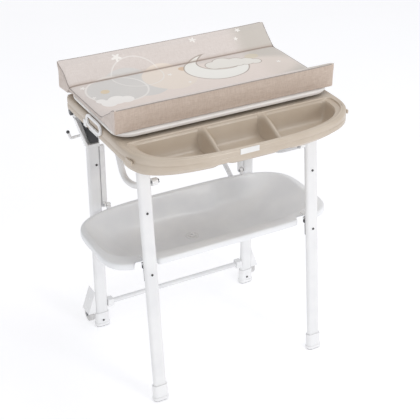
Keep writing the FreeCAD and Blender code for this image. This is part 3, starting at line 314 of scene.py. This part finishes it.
def printed_cover():
    """The lying surface: clouds, discs, stars and a plain crescent on linen, with painted shade
    along the back crease.
    """
    s, base = linen("printed_cover", srgb(226, 217, 212), srgb(214, 204, 198))
    split = s.tree.nodes.new("ShaderNodeSeparateXYZ")
    s.link(s.place, split.inputs[0])
    x, y = split.outputs["X"], split.outputs["Y"]
    # the back bolster's slope is longer than its depth, so the print runs on unbroken
    crease, slope_gain = 0.245, 0.234
    over = s.math("MAXIMUM", s.math("SUBTRACT", y, crease), 0.0)
    v = s.math("ADD", y, s.math("MULTIPLY", over, slope_gain))

    def radius(cx, cy, rx, ry):
        dx = s.math("DIVIDE", s.math("SUBTRACT", x, cx * MM), rx * MM)
        dy = s.math("DIVIDE", s.math("SUBTRACT", v, cy * MM), ry * MM)
        return s.math("SQRT", s.math("ADD", s.math("MULTIPLY", dx, dx),
                                     s.math("MULTIPLY", dy, dy)))

    def disc(cx, cy, rx, ry=None, edge=0.02):
        return s.spread(radius(cx, cy, rx, ry or rx), 1 + edge, 1 - edge)

    def ring(cx, cy, r, width):
        d = s.math("ABSOLUTE", s.math("SUBTRACT", radius(cx, cy, r, r), 1.0))
        return s.spread(d, width / r, 0.35 * width / r)

    def star(cx, cy, r, turn=0.0):
        dx = s.math("SUBTRACT", x, cx * MM)
        dy = s.math("SUBTRACT", v, cy * MM)
        angle = s.math("ADD", s.math("ARCTAN2", dy, dx), turn)
        lobes = s.math("COSINE", s.math("MULTIPLY", angle, 5.0))
        reach = s.math("ADD", s.math("MULTIPLY", lobes, 0.3), 0.72)
        far = s.math("DIVIDE", radius(cx, cy, r, r), reach)
        return s.spread(far, 1.06, 0.92)

    def union(*masks):
        total = masks[0]
        for mask in masks[1:]:
            total = s.math("MAXIMUM", total, mask)
        return total

    def paint(surface, mask, colour, amount=1.0):
        return s.mix(s.math("MULTIPLY", mask, amount), surface, colour)

    surface = base
    right = s.spread(x, 0.23, 0.30)
    surface = paint(surface, right, srgb(196, 190, 181), 0.75)
    pale = union(disc(60, 95, 330, 120, 0.12), disc(-60, 40, 300, 80, 0.15))
    surface = paint(surface, pale, srgb(238, 224, 215), 0.6)
    grey = union(disc(-258, 150, 98), disc(-190, 190, 98, 84), disc(-165, 135, 78))
    surface = paint(surface, grey, srgb(214, 212, 209), 0.85)
    surface = paint(surface, disc(-60, 165, 92, 100), srgb(234, 222, 210), 0.95)
    surface = paint(surface, ring(-258, 150, 102, 4.5), srgb(238, 234, 230), 0.8)
    surface = paint(surface, ring(-150, 225, 88, 3.5), srgb(238, 234, 230), 0.6)
    surface = paint(surface, disc(-300, 152, 15), srgb(222, 203, 172), 0.9)
    surface = paint(surface, disc(10, 205, 17), srgb(214, 184, 156), 0.9)
    puff = union(disc(-322, 66, 26), disc(-292, 76, 30), disc(-262, 66, 24), disc(-340, 92, 16))
    surface = paint(surface, puff, srgb(244, 240, 236))
    # a plain crescent with a thin outline, and small clouds resting in it
    whole = disc(118, 165, 112, 98, 0.014)
    bite = disc(150, 205, 84, 70, 0.02)
    crescent = s.math("MULTIPLY", whole, s.math("SUBTRACT", 1.0, bite))
    rim_out = disc(118, 165, 116, 102, 0.014)
    rim_bite = disc(150, 205, 80, 66, 0.02)
    rim = s.math("MULTIPLY", rim_out, s.math("SUBTRACT", 1.0, rim_bite))
    surface = paint(surface, rim, srgb(168, 155, 145), 0.9)
    surface = paint(surface, crescent, srgb(240, 238, 232))
    cloud_line = union(disc(118, 180, 34), disc(158, 192, 40), disc(200, 178, 36),
                       disc(236, 165, 30), disc(262, 150, 22), disc(160, 166, 62, 24))
    cloud_fill = union(disc(118, 180, 31), disc(158, 192, 37), disc(200, 178, 33),
                       disc(236, 165, 27), disc(262, 150, 19), disc(160, 166, 59, 21))
    surface = paint(surface, cloud_line, srgb(170, 157, 147), 0.9)
    surface = paint(surface, cloud_fill, srgb(233, 229, 222))
    surface = paint(surface, disc(272, 196, 26, 20), srgb(214, 203, 178), 0.7)
    for cx, cy, r, turn in ((-190, 319, 19, 0.4), (103, 331, 14, 0.1), (285, 336, 11, 0.5),
                            (-50, 184, 9, 0.3), (-348, 128, 8, 0.8), (330, 110, 9, 0.2),
                            (-20, 95, 7, 0.6), (262, 300, 8, 0.0), (-352, 215, 10, 0.3)):
        surface = paint(surface, star(cx, cy, r, turn), srgb(244, 240, 235), 0.95)
    # painted shade along the crease before the back bolster: a soft darker band and a dark thin
    # line
    crease_shade_dist = s.math("ABSOLUTE", s.math("SUBTRACT", y, crease))
    surface = paint(surface, s.spread(crease_shade_dist, 0.012, 0.0), srgb(184, 166, 154), 0.45)
    surface = paint(surface, s.spread(crease_shade_dist, 0.0035, 0.0008), srgb(140, 122, 110), 0.75)
    s.colour(surface)
    return s.mat


def plain_linen(name, colour, shade):
    s, base = linen(name, colour, shade, contrast=1.4)
    s.colour(base)
    return s.mat


PRINTED = printed_cover()
LINEN = plain_linen("greige_linen", srgb(208, 192, 179), srgb(190, 172, 158))
SIDE_LINEN = plain_linen("pale_linen", srgb(218, 206, 198), srgb(203, 190, 181))
PIPING = plain_linen("grey_piping", srgb(172, 163, 157), srgb(152, 143, 137))

# ================================================================ mat
MAT_X = (-393.0, 396.0)
# Y and Z of the mat's cross-section, front bolster first
MAT_PROFILE = [(-129.5, 970.6), (262.0, 971.5), (263.5, 957.0), (334.5, 957.0),
               (336.0, 1049.5), (245.0, 982.5), (-16.5, 982.5), (-119.0, 1053.5),
               (-127.5, 1052.2)]
MAT_BOTTOM, MAT_FRONT, MAT_TOP = 970.6, -131.0, 1056.0
VOXEL, PRESSURE, LAST_FRAME = 5.5, 4.0, 20
# above HELD_FROM the seams hold the bolsters' tips, and fully so HELD_OVER higher
HELD_FROM, HELD_OVER, HELD_SHARE = 1015, 25, 0.85


def mat_mesh():
    """The mat as a closed form with fillers between the profile's corners."""
    outline = []
    for a, b in zip(MAT_PROFILE, MAT_PROFILE[1:] + MAT_PROFILE[:1]):
        steps = max(1, round((Vector(b) - Vector(a)).length / 14))
        outline += [(a[0] + (b[0] - a[0]) * k / steps, a[1] + (b[1] - a[1]) * k / steps)
                    for k in range(steps)]
    rings = []
    slices = 56
    for i in range(slices + 1):
        x = MAT_X[0] + (MAT_X[1] - MAT_X[0]) * i / slices
        rings.append([(x, y, z) for y, z in outline])
    return loft(rings)


def inflate(piece, cap):
    """Swell a closed form as a filled cover swells, moving no point more than cap."""
    bpy.context.view_layer.objects.active = piece
    remesh = piece.modifiers.new("Remesh", "REMESH")
    remesh.mode = "VOXEL"
    remesh.voxel_size = VOXEL * MM
    graph = bpy.context.evaluated_depsgraph_get()
    mesh = bpy.data.meshes.new_from_object(piece.evaluated_get(graph))
    piece.modifiers.clear()
    piece.data = mesh
    rest = [v.co.copy() for v in mesh.vertices]
    cloth = piece.modifiers.new("Cloth", "CLOTH")
    cloth.settings.use_pressure = True
    cloth.settings.uniform_pressure_force = PRESSURE
    cloth.settings.effector_weights.gravity = 0.0
    cloth.settings.tension_stiffness = 25
    cloth.settings.compression_stiffness = 25
    cloth.settings.quality = 5
    scene = bpy.context.scene
    scene.frame_start, scene.frame_end = 1, LAST_FRAME
    cloth.point_cache.frame_start, cloth.point_cache.frame_end = 1, LAST_FRAME
    for step in range(1, LAST_FRAME + 1):
        scene.frame_set(step)
    graph = bpy.context.evaluated_depsgraph_get()
    moved = bpy.data.meshes.new_from_object(piece.evaluated_get(graph))
    piece.modifiers.clear()
    for vertex, start, new in zip(piece.data.vertices, rest, moved.vertices):
        held = HELD_SHARE * smooth01((start.z / MM - HELD_FROM) / HELD_OVER)
        shift = (new.co - start) * (1 - held)
        if shift.length > cap * MM:
            shift *= cap * MM / shift.length
        vertex.co = start + shift
    scene.frame_set(1)


def dent(t, width):
    """A bell-shaped hollow, 1 deep at t = 0."""
    return math.exp(-(t / width) ** 2)


def mat():
    """The swollen mat with its creases, soft waves and three cloths."""
    piece = mesh_piece("mat_cover", *mat_mesh())
    inflate(piece, cap=4.0)
    for vertex in piece.data.vertices:
        x, y, z = (c / MM for c in vertex.co)
        if z > 975:
            # the crease before the back bolster pulls in, and so does the front one's foot
            z -= 2.4 * dent(y - 243, 5.5) + 1.6 * dent(y + 16, 9)
            wave = math.sin(x * 0.021 + 0.4) + 0.6 * math.sin(x * 0.047 + y * 0.013)
            flat = smooth01((y + 10) / 40) * smooth01((238 - y) / 40)
            z += 1.1 * wave * flat
        if y < -120:
            y += 0.9 * math.sin(x * 0.018) * smooth01((z - 975) / 30)
        if y < 262:
            z = max(z, MAT_BOTTOM)
        vertex.co = Vector((x, max(y, MAT_FRONT), min(z, MAT_TOP))) * MM
    smoothing = piece.modifiers.new("Smooth", "SMOOTH")
    smoothing.factor, smoothing.iterations = 0.4, 1
    piece.data.shade_smooth()
    settle(piece, "board", PRINTED, ["changing_mat"], subdivide=1)
    piece.data.materials.append(LINEN)
    piece.data.materials.append(SIDE_LINEN)
    for face in piece.data.polygons:
        n, c = face.normal, face.center / MM
        if n.y < -0.75 and c.y < -100:
            face.material_index = 1
        elif n.y > 0.8 and c.y > 300:
            face.material_index = 1
        elif abs(n.x) > 0.75:
            face.material_index = 2
    return piece


def tube(points, radius, sides):
    """A round bar of quads along a polyline, as (verts, faces)."""
    pts = [Vector(p) for p in points]
    rings = []
    normal = None
    for i, p in enumerate(pts):
        a, b = pts[max(i - 1, 0)], pts[min(i + 1, len(pts) - 1)]
        way = (b - a).normalized()
        if normal is None:
            normal = way.orthogonal().normalized()
        normal = (normal - way * normal.dot(way)).normalized()
        side = way.cross(normal)
        rings.append([tuple(p + (normal * math.cos(t) + side * math.sin(t)) * radius)
                      for t in (2 * math.pi * k / sides for k in range(sides))])
    return loft(rings)


def top_line(points, along, score, low, high, count):
    """The best-scoring point in each of equally wide bins along one axis, evened out."""
    best = [None] * count
    for p in points:
        k = int((p[along] - low) / (high - low) * count)
        if 0 <= k < count and (best[k] is None or score(p) > score(best[k])):
            best[k] = p
    line = [p for p in best if p is not None]
    for _ in range(3):
        line = ([line[0]] + [tuple((a[i] + 2 * b[i] + c[i]) / 4 for i in range(3))
                             for a, b, c in zip(line, line[1:], line[2:])] + [line[-1]])
    return line


def piping(cover):
    """Corded seams that follow the cover along the bolsters' tops and across its two ends."""
    mesh = cover.evaluated_get(bpy.context.evaluated_depsgraph_get()).to_mesh()
    points = [tuple(v.co / MM) for v in mesh.vertices]
    seams = []
    for way in (-1, 1):
        edge = [p for p in points if (p[1] < -60 if way < 0 else p[1] > 280)]
        line = top_line(edge, 0, lambda p, way=way: p[2] + 0.8 * way * p[1], *MAT_X, 66)
        seams.append(tube(line, 1.7, 8))
    for x in MAT_X:
        end = [p for p in points if abs(p[0] - x) < 14]
        line = top_line(end, 1, lambda p, x=x: p[2] - 0.9 * abs(p[0] - x), -131, 338, 70)
        seams.append(tube(line, 1.4, 8))
    cover.to_mesh_clear()
    piece = mesh_piece("mat_piping", *merged(*seams))
    settle(piece, "board", PIPING)


piping(mat())


# ================================================================ board
def rounded_rect(x0, x1, y0, y1, r, z):
    """A rectangle with rounded corners, as a ring at height z."""
    n = 12
    points = (arc(x1 - r, y1 - r, r, 0, 90, n) + arc(x0 + r, y1 - r, r, 90, 180, n)
              + arc(x0 + r, y0 + r, r, 180, 270, n) + arc(x1 - r, y0 + r, r, 270, 360, n))
    return [(x, y, z) for x, y in points]


def board():
    """The moulded board: rings pulled in by d at height z, from below to above."""
    steps = ((16, 957.4), (7, 957.2), (5.2, 956.4), (4.2, 956.4), (3.6, 957.6), (3.4, 960.4),
             (2.4, 961.4), (0.6, 961.8), (0, 963), (0, 966.4), (0.8, 968.4), (2.4, 969.6),
             (5, 970), (30, 970))
    rings = [rounded_rect(d - 388, 388 - d, d - 136.5, 259.5 - d, 62 - min(d, 30), z)
             for d, z in steps]
    piece = mesh_piece("changing_board_shell", *loft(rings))
    settle(piece, "board", BOARD_WHITE, ["changing_board"])


board()


# ================================================================ tray
TRAY_TOP, SKIRT = 947.0, 905.0
NOSE_START, NOSE_FRONT, TRAY_REAR, TRAY_HALF = -130.0, -336.2, 284.0, 391.0
POCKET_BACK, POCKET_FRONT, POCKET_HALF = -151.5, -322.5, 366.0
LEDGE, NOSE_POWER, POCKET_POWER = 19.0, 3.15, 2.8


def tray_outline(d, z):
    """The tray's outline pulled in by d: the nose, then the sides and the back."""
    half, rear, r = TRAY_HALF - d, TRAY_REAR - d, max(28 - d, 6)
    nose = superellipse(half, NOSE_START, NOSE_START - (NOSE_FRONT + d), NOSE_POWER, 180, 360,
                        400)
    nose = resample(nose, 120)
    right = [(half, NOSE_START + (rear - r - NOSE_START) * k / 12) for k in range(1, 12)]
    back = [(half - r - (2 * half - 2 * r) * k / 24, rear) for k in range(1, 24)]
    left = [(-x, y) for x, y in reversed(right)]
    points = (nose + right + arc(half - r, rear - r, r, 0, 90, 8) + back
              + arc(r - half, rear - r, r, 90, 180, 8) + left)
    return [(x, y, z) for x, y in points]


def pocket_outline(d, z, side=0.0, nose=0.0):
    """The pockets' common outline pulled in by d, and by more at the ends and the nose."""
    half, back, r = POCKET_HALF - d - side, POCKET_BACK - d, max(16 - 0.5 * d, 5)
    start = back - r
    curve = superellipse(half, start, start - (POCKET_FRONT + d + nose), POCKET_POWER, 180,
                         360, 400)
    curve = resample(curve, 120)
    edge = [(half - r - (2 * half - 2 * r) * k / 46, back) for k in range(1, 46)]
    points = (curve + arc(half - r, start, r, 0, 90, 9)[1:] + edge
              + arc(r - half, start, r, 90, 180, 9)[:-1])
    return [(x, y, z) for x, y in points]


def tray_shell():
    """The tray from the pockets' undersides, round the skirt and rim, to the pockets' floor."""
    rings = [pocket_outline(32, 873.6, LEDGE, 26), pocket_outline(20, 874.2, LEDGE, 26),
             pocket_outline(6, 884, LEDGE, 24), pocket_outline(0, 905, LEDGE, 12),
             pocket_outline(-3, 936.5, LEDGE), pocket_outline(-3, 943.5),
             tray_outline(3.2, 943.5), tray_outline(3.2, 908)]
    for d, z in ((2.6, 905.4), (1.4, 905), (0.4, 905.6), (0, 907), (0, 915), (0.2, 921),
                 (1.2, 923), (1.2, 924.5), (0.4, 926.5), (0.2, 934), (0.3, 940), (1.2, 943.6),
                 (3.2, 946), (6, 947), (9, 947.3), (12, 947)):
        rings.append(tray_outline(d, z))
    for d, z in ((-8.5, 946.6), (-6.5, 947.2), (-4.5, 948.4), (-2.4, 948.7), (-0.6, 947.8),
                 (0.2, 945.6), (0.5, 943.4)):
        rings.append(pocket_outline(d, z))
    for d, z, nose in ((0.6, 942, 0), (1.4, 940.6, 0), (3.2, 938, 0), (4, 934, 1), (5, 918, 6),
                       (7, 905, 12), (10, 890, 22), (15, 882, 26), (23, 877.4, 27),
                       (33, 876.1, 28), (43, 876, 28)):
        rings.append(pocket_outline(d, z, LEDGE, nose))
    verts, faces = loft(rings)
    return [(x, y, z - 6 * smooth01((-235 - y) / 75) * smooth01((z - 915) / 25))
            for x, y, z in verts], faces


def divider_fin(x_mid):
    """A fin between two pockets that flares into the walls and slopes down to the front."""
    rows = 40
    rings = []
    for i in range(rows + 1):
        t = i / rows
        y = POCKET_BACK + 1.5 + (POCKET_FRONT + 2 - POCKET_BACK - 1.5) * t
        base = 876.2 + 1.15 * max(0.0, -286 - y)
        top = max(946.5 - 46 * smooth01(t / 0.95) ** 1.25, base + 5)
        flare = 20 * math.exp(-t / 0.06) + 9 * math.exp(-(1 - t) / 0.05)
        half = 6.2 + 1.5 * math.sin(math.pi * t) + flare
        height = top - base
        ring = []
        for k in range(9):
            u = k / 8
            spread = 9 * (1 - u) ** 3 + half * (1.0 if u < 0.8 else
                                                math.cos((u - 0.8) / 0.2 * math.pi / 2 * 0.86))
            rise = u if u < 0.8 else 0.8 + 0.2 * math.sin((u - 0.8) / 0.2 * math.pi / 2)
            ring.append((spread, base + height * rise))
        left = [(x_mid - s, y, z) for s, z in ring]
        right = [(x_mid + s, y, z) for s, z in reversed(ring)]
        rings.append(left + right)
    return loft(rings)


def pocket_tub(x0, x1):
    """The underside of one pocket: a rounded tub that hangs below the skirt."""
    half, front = TRAY_HALF - 9, NOSE_FRONT + 9

    def nose_y(x):
        t = min(1.0, abs(x) / half)
        return NOSE_START + (front - NOSE_START) * (1 - t ** NOSE_POWER) ** (1 / NOSE_POWER)

    corner = 26.0

    def front_y(x):
        near = min(x - x0, x1 - x)
        lift = corner - math.sqrt(max(0.0, corner ** 2 - max(0.0, corner - near) ** 2))
        return nose_y(x) + lift

    edge = [(x0 + x1) / 2 - (x1 - x0) / 2 * math.cos(math.pi * k / 90) for k in range(91)]
    outline = [(x, front_y(x)) for x in edge] + [(x1, -148.0), (x0, -148.0)]
    cx, back = (x0 + x1) / 2, -148.0
    reach_x = (x1 - x0) / 2
    rings = []
    for nose, d, z in ((0, 0, 941), (2, 0, 915), (7, 0, 903), (17, 0.8, 891), (24, 2.5, 883),
                       (31, 6, 877), (38, 12, 873.4), (47, 22, 871.4), (60, 34, 871)):
        rings.append([(cx + (x - cx) * (1 - d / reach_x), back + (y - back) * (1 - nose / 182), z)
                      for x, y in outline])
    return loft(rings)


def carved(base, tool):
    """The base with the tool's space taken away, as (verts, faces); both objects are used up."""
    cutter = base.modifiers.new("Carve", "BOOLEAN")
    cutter.object, cutter.operation, cutter.solver = tool, "DIFFERENCE", "EXACT"
    cutter.use_self = True
    graph = bpy.context.evaluated_depsgraph_get()
    mesh = bpy.data.meshes.new_from_object(base.evaluated_get(graph))
    shape = ([tuple(v.co / MM) for v in mesh.vertices],
             [tuple(f.vertices) for f in mesh.polygons])
    for used in (base, tool):
        bpy.data.objects.remove(used)
    return shape


def pocket_undersides():
    """The three tubs under the nose, hollowed by the pockets inside them."""
    tubs = mesh_piece("tubs", *merged(pocket_tub(-379, -117), pocket_tub(-99, 99),
                                      pocket_tub(117, 379)))
    rings = [pocket_outline(27, 874.8, LEDGE, 27), pocket_outline(13, 877.5, LEDGE, 26),
             pocket_outline(7, 890, LEDGE, 21), pocket_outline(4, 905, LEDGE, 11),
             pocket_outline(1.5, 934, LEDGE), pocket_outline(-1.0, 960, LEDGE)]
    void = mesh_piece("void", *loft(rings))
    return carved(tubs, void)


def tray():
    """The tray as one piece, with its label plate and side caps."""
    parts = [tray_shell(), divider_fin(-108), divider_fin(108), pocket_undersides()]
    piece = mesh_piece("accessory_tray_shell", *merged(*parts), smooth_angle=50)
    settle(piece, "top", BEIGE, ["accessory_tray"])
    softened("blank_label", 0.8, "top", LABEL_WHITE)
    softened("tray_side_caps", 1.6, "top", BEIGE)


tray()


# ================================================================ basin
BASIN_HALF, BASIN_MID = 427.0, 53.0
PIN_Y, PIN_Z = -152.5, 508.0


def rim_ring(d, z, lift=0.0):
    """The rim's outline pulled in by d, with the two notches for the front legs."""
    ring = []
    count = 288
    for k in range(count):
        a = 2 * math.pi * k / count
        c, s = math.cos(a), math.sin(a)
        power = 3.5 if s > 0 else 5.5
        reach = (256.5 if s > 0 else 256.5 - 53) - (BASIN_MID if s > 0 else 0)
        half = BASIN_HALF - d
        x = half * math.copysign(abs(c) ** (2 / power), c)
        y = BASIN_MID + (reach - d) * math.copysign(abs(s) ** (2 / power), s)
        near = smooth01((42 - abs(abs(x) - 308)) / 9) if s < 0 else 0.0
        y = max(y, y + near * max(0.0, (-125 + 0.2 * d) - y))
        ring.append((x, y, z + lift * near))
    return ring


def tub_ring(z, half, front, back, bump=0.0):
    """The tub's outline, whose back wall comes forward by bump in one stretch."""
    ring = []
    count, power = 288, 4.2
    mid, reach = (front + back) / 2, (back - front) / 2
    for k in range(count):
        a = 2 * math.pi * k / count
        c, s = math.cos(a), math.sin(a)
        x = half * math.copysign(abs(c) ** (2 / power), c)
        y = mid + reach * math.copysign(abs(s) ** (2 / power), s)
        if s > 0:
            y -= bump * smooth01((x - 12) / 22) * smooth01((150 - x) / 22)
        ring.append((x, y, z))
    return ring


def basin():
    """The basin from its outside up, over the rim, and down the inside, with its front pins."""
    rings = [tub_ring(369, 232, 66, 194), tub_ring(370.5, 246, 52, 204),
             tub_ring(378, 256, 32, 213), tub_ring(400, 281, -2, 218),
             tub_ring(445, 349, -63, 226), tub_ring(480, 384, -95, 232),
             tub_ring(498, 400, -108, 236), tub_ring(501.5, 404, -110, 238),
             rim_ring(8, 501.8), rim_ring(3.4, 501)]
    rings += [rim_ring(3.2, 486, 15), rim_ring(2.6, 483.5, 17),
              rim_ring(1.2, 483, 18), rim_ring(0.2, 484.5, 16.5),
              rim_ring(0.0, 490, 11), rim_ring(0.4, 497, 5),
              rim_ring(1.4, 501.5, 1.2), rim_ring(3.4, 504), rim_ring(6.5, 505),
              rim_ring(12, 505.3)]
    tub = ((505.2, 406, -110.5, 237.5, 0), (504.2, 403, -109, 236, 0), (501, 400, -107, 234, 0),
           (492, 393, -101, 231.5, 2), (480, 381, -92, 229, 6), (462, 362, -78, 226, 8),
           (440, 338, -58, 223, 8), (426, 320, -44, 220, 6), (416, 306, -34, 216, 4),
           (408, 295, -24, 210, 2), (400, 284, -12, 201, 0), (392, 272, 4, 190, 0),
           (385, 261, 22, 179, 0), (379, 250, 38, 168, 0), (375, 240, 50, 160, 0),
           (372.8, 226, 62, 152, 0), (372, 205, 74, 146, 0))
    for z, half, front, back, bump in tub:
        rings.append(tub_ring(z, half, front, back, bump=bump))
    shell = loft(rings)
    pins = [tube([(side * 308 - 20, PIN_Y, PIN_Z), (side * 308 + 20, PIN_Y, PIN_Z)], 3.9, 20)
            for side in SIDES.values()]
    piece = mesh_piece("bath_basin_shell", *merged(shell, *pins), smooth_angle=55)
    settle(piece, "basin", BASIN_PLASTIC, ["bath_basin"])


def box_part(x, y, z):
    """A block between pairs of x, y and z, as (verts, faces)."""
    verts = [(a, b, c) for a in x for b in y for c in z]
    faces = [(0, 1, 3, 2), (4, 6, 7, 5), (0, 4, 5, 1), (2, 3, 7, 6), (0, 2, 6, 4), (1, 5, 7, 3)]
    return verts, faces


def lug_blocks():
    """Arms that carry the basin's front pins, and ears that carry its rear pins."""
    parts = []
    for side in SIDES.values():
        x = side * 308
        parts.append(box_part((x - 7, x + 7), (PIN_Y, -108), (504.6, 511.4)))
        x = side * 270
        parts.append(box_part((x - 6.4, x + 6.4), (236, 252), (499, 515)))
        parts.append(tube([(x - 6.4, 251, 515), (x + 6.4, 251, 515)], 7, 28))
    piece = mesh_piece("basin_lugs", *merged(*parts))
    settle(piece, "basin", WHITE_PLASTIC, bevel=1.2)


basin()
lug_blocks()

# ================================================================ finished copies of the frame
FINISHED = {
    "rear_frame": [("left_hinge_head", 2.2, WHITE_PLASTIC),
                   ("right_hinge_head", 2.2, WHITE_PLASTIC),
                   ("left_rear_foot", 1.6, WHITE_PLASTIC), ("right_rear_foot", 1.6, WHITE_PLASTIC),
                   ("left_wheel_fender", 2.0, WHITE_PLASTIC),
                   ("right_wheel_fender", 2.0, WHITE_PLASTIC),
                   ("left_basin_rail", 1.8, WHITE_PLASTIC),
                   ("right_basin_rail", 1.8, WHITE_PLASTIC),
                   ("crossbar_sockets", 2.2, WHITE_PLASTIC)],
    "top": [("latch_bases", 0.5, WHITE_PLASTIC), ("latch_covers", 1.2, WHITE_PLASTIC),
            ("rear_hinge_brackets", 1.0, DARK), ("leg_brackets", 1.0, DARK),
            ("board_hinge_base", 0.5, BEIGE)],
    "board": [("board_hinge_leaf", 0.4, BOARD_WHITE)],
    "left_leg": [("left_front_foot", 1.6, WHITE_PLASTIC), ("left_basin_hook", 0.8, DARK)],
    "right_leg": [("right_front_foot", 1.6, WHITE_PLASTIC), ("right_basin_hook", 0.8, DARK)],
    "left_latch": [("left_board_latch", 1.4, WHITE_PLASTIC)],
    "right_latch": [("right_board_latch", 1.4, WHITE_PLASTIC)],
    "left_roller": [("left_wheel", 2.0, GREY_PLASTIC)],
    "right_roller": [("right_wheel", 2.0, GREY_PLASTIC)],
}
for body, entries in FINISHED.items():
    for node, width, material in entries:
        softened(node, width, body, material)


def hinge_shade_blocks():
    """Dark blocks in each hinge head's open front: painted shade of its hollow."""
    for name, side in SIDES.items():
        low, high, inner = 757.0, 866.0, 288.4
        rings = []
        for t in (0.0, 0.25, 0.5, 0.75, 1.0):
            z = low + (high - low) * t
            outer = 331 + (372 - 331) * (z - 742.6) / (879 - 742.6) - 19
            rings.append([(side * inner, 262 + 2 * t, z), (side * outer, 262 + 2 * t, z),
                          (side * outer, 282.4, z), (side * inner, 282.4, z)])
        piece = mesh_piece(f"{name}_head_painted_shade", *loft(rings))
        settle(piece, "rear_frame", HOLLOW_SHADE, bevel=2.0)


hinge_shade_blocks()

KEPT = {
    WHITE_PAINT: ["left_rear_leg", "right_rear_leg", "left_front_leg", "right_front_leg",
                  "left_side_stay", "right_side_stay", "rear_crossbar"],
    WHITE_PLASTIC: ["left_leg_eye", "right_leg_eye", "side_hooks", "drain_seat", "drain_plug",
                    "drain_hose", "hose_end_cap"],
    DARK: ["hook_tips"],
    RUBBER: ["board_rest_pads", "rear_soles", "left_front_sole", "right_front_sole"],
    STEEL: ["board_hinge_pins", "latch_pins", "rear_hinge_pins", "leg_pins", "basin_rear_pins",
            "stay_rear_pins", "left_stay_front_pin", "right_stay_front_pin", "wheel_axles"],
    SCREW: ["rear_frame_screws", "left_leg_screws", "right_leg_screws"],
}
for material, names in KEPT.items():
    for node in names:
        mesh = NODES[node].data
        mesh.materials.clear()
        mesh.materials.append(material)


# ================================================================ stage, light and camera
def stage():
    """A pale floor just under the soles."""
    size, strips = 9000, 23
    rows = []
    for i in range(strips + 1):
        t = i / strips
        rows.append([(-size, -size + 2 * size * t, -0.6), (size, -size + 2 * size * t, -0.6)])
    verts = [p for row in rows for p in row]
    faces = [(2 * i, 2 * i + 1, 2 * i + 3, 2 * i + 2) for i in range(strips)]
    floor = mesh_piece("studio_floor", verts, faces)
    s = Shader("pale_floor", 0.85)
    s.colour(s.mix(s.noise(2.0), srgb(226, 226, 229), srgb(223, 223, 226)))
    s.bsdf.inputs["Emission Color"].default_value = (1.0, 1.0, 1.0, 1.0)
    s.bsdf.inputs["Emission Strength"].default_value = 0.42
    floor.data.materials.append(s.mat)


def area_light(name, place, aim, size, power):
    data = bpy.data.lights.new(name, "AREA")
    data.shape = "DISK"
    data.size = size
    data.energy = power
    lamp = bpy.data.objects.new(name, data)
    bpy.context.scene.collection.objects.link(lamp)
    lamp.location = place
    lamp.rotation_euler = (Vector(aim) - Vector(place)).to_track_quat("-Z", "Y").to_euler()


def studio():
    """Plain display colours, the floor, an even sky and three soft lamps."""
    bpy.context.scene.view_settings.view_transform = "Standard"
    stage()
    world = bpy.data.worlds.new("studio")
    world.use_nodes = True
    background = world.node_tree.nodes["Background"]
    background.inputs["Color"].default_value = (0.98, 0.985, 1.0, 1.0)
    background.inputs["Strength"].default_value = 0.66
    bpy.context.scene.world = world
    area_light("key", (1.2, -3.7, 1.9), (0, 0, 0.6), 1.2, 32)
    area_light("left", (-1.9, -2.3, 3.1), (0, 0, 0.5), 1.6, 8)
    area_light("top", (1.0, -0.2, 3.6), (0, 0, 0.7), 1.6, 20)


def camera():
    """The photograph's viewpoint."""
    azimuth, elevation = math.radians(-28.43), math.radians(29.69)
    target, distance = Vector((0.01274, 0.01842, 0.53046)), 3.83582
    back = Vector((math.sin(azimuth) * math.cos(elevation),
                   -math.cos(azimuth) * math.cos(elevation), math.sin(elevation)))
    data = bpy.data.cameras.new("photo_view")
    data.sensor_width, data.lens = 36.0, 95.15
    cam = bpy.data.objects.new("photo_view", data)
    bpy.context.scene.collection.objects.link(cam)
    cam.location = target + back * distance
    cam.rotation_euler = (-back).to_track_quat("-Z", "Y").to_euler()
    bpy.context.scene.camera = cam


studio()
camera()
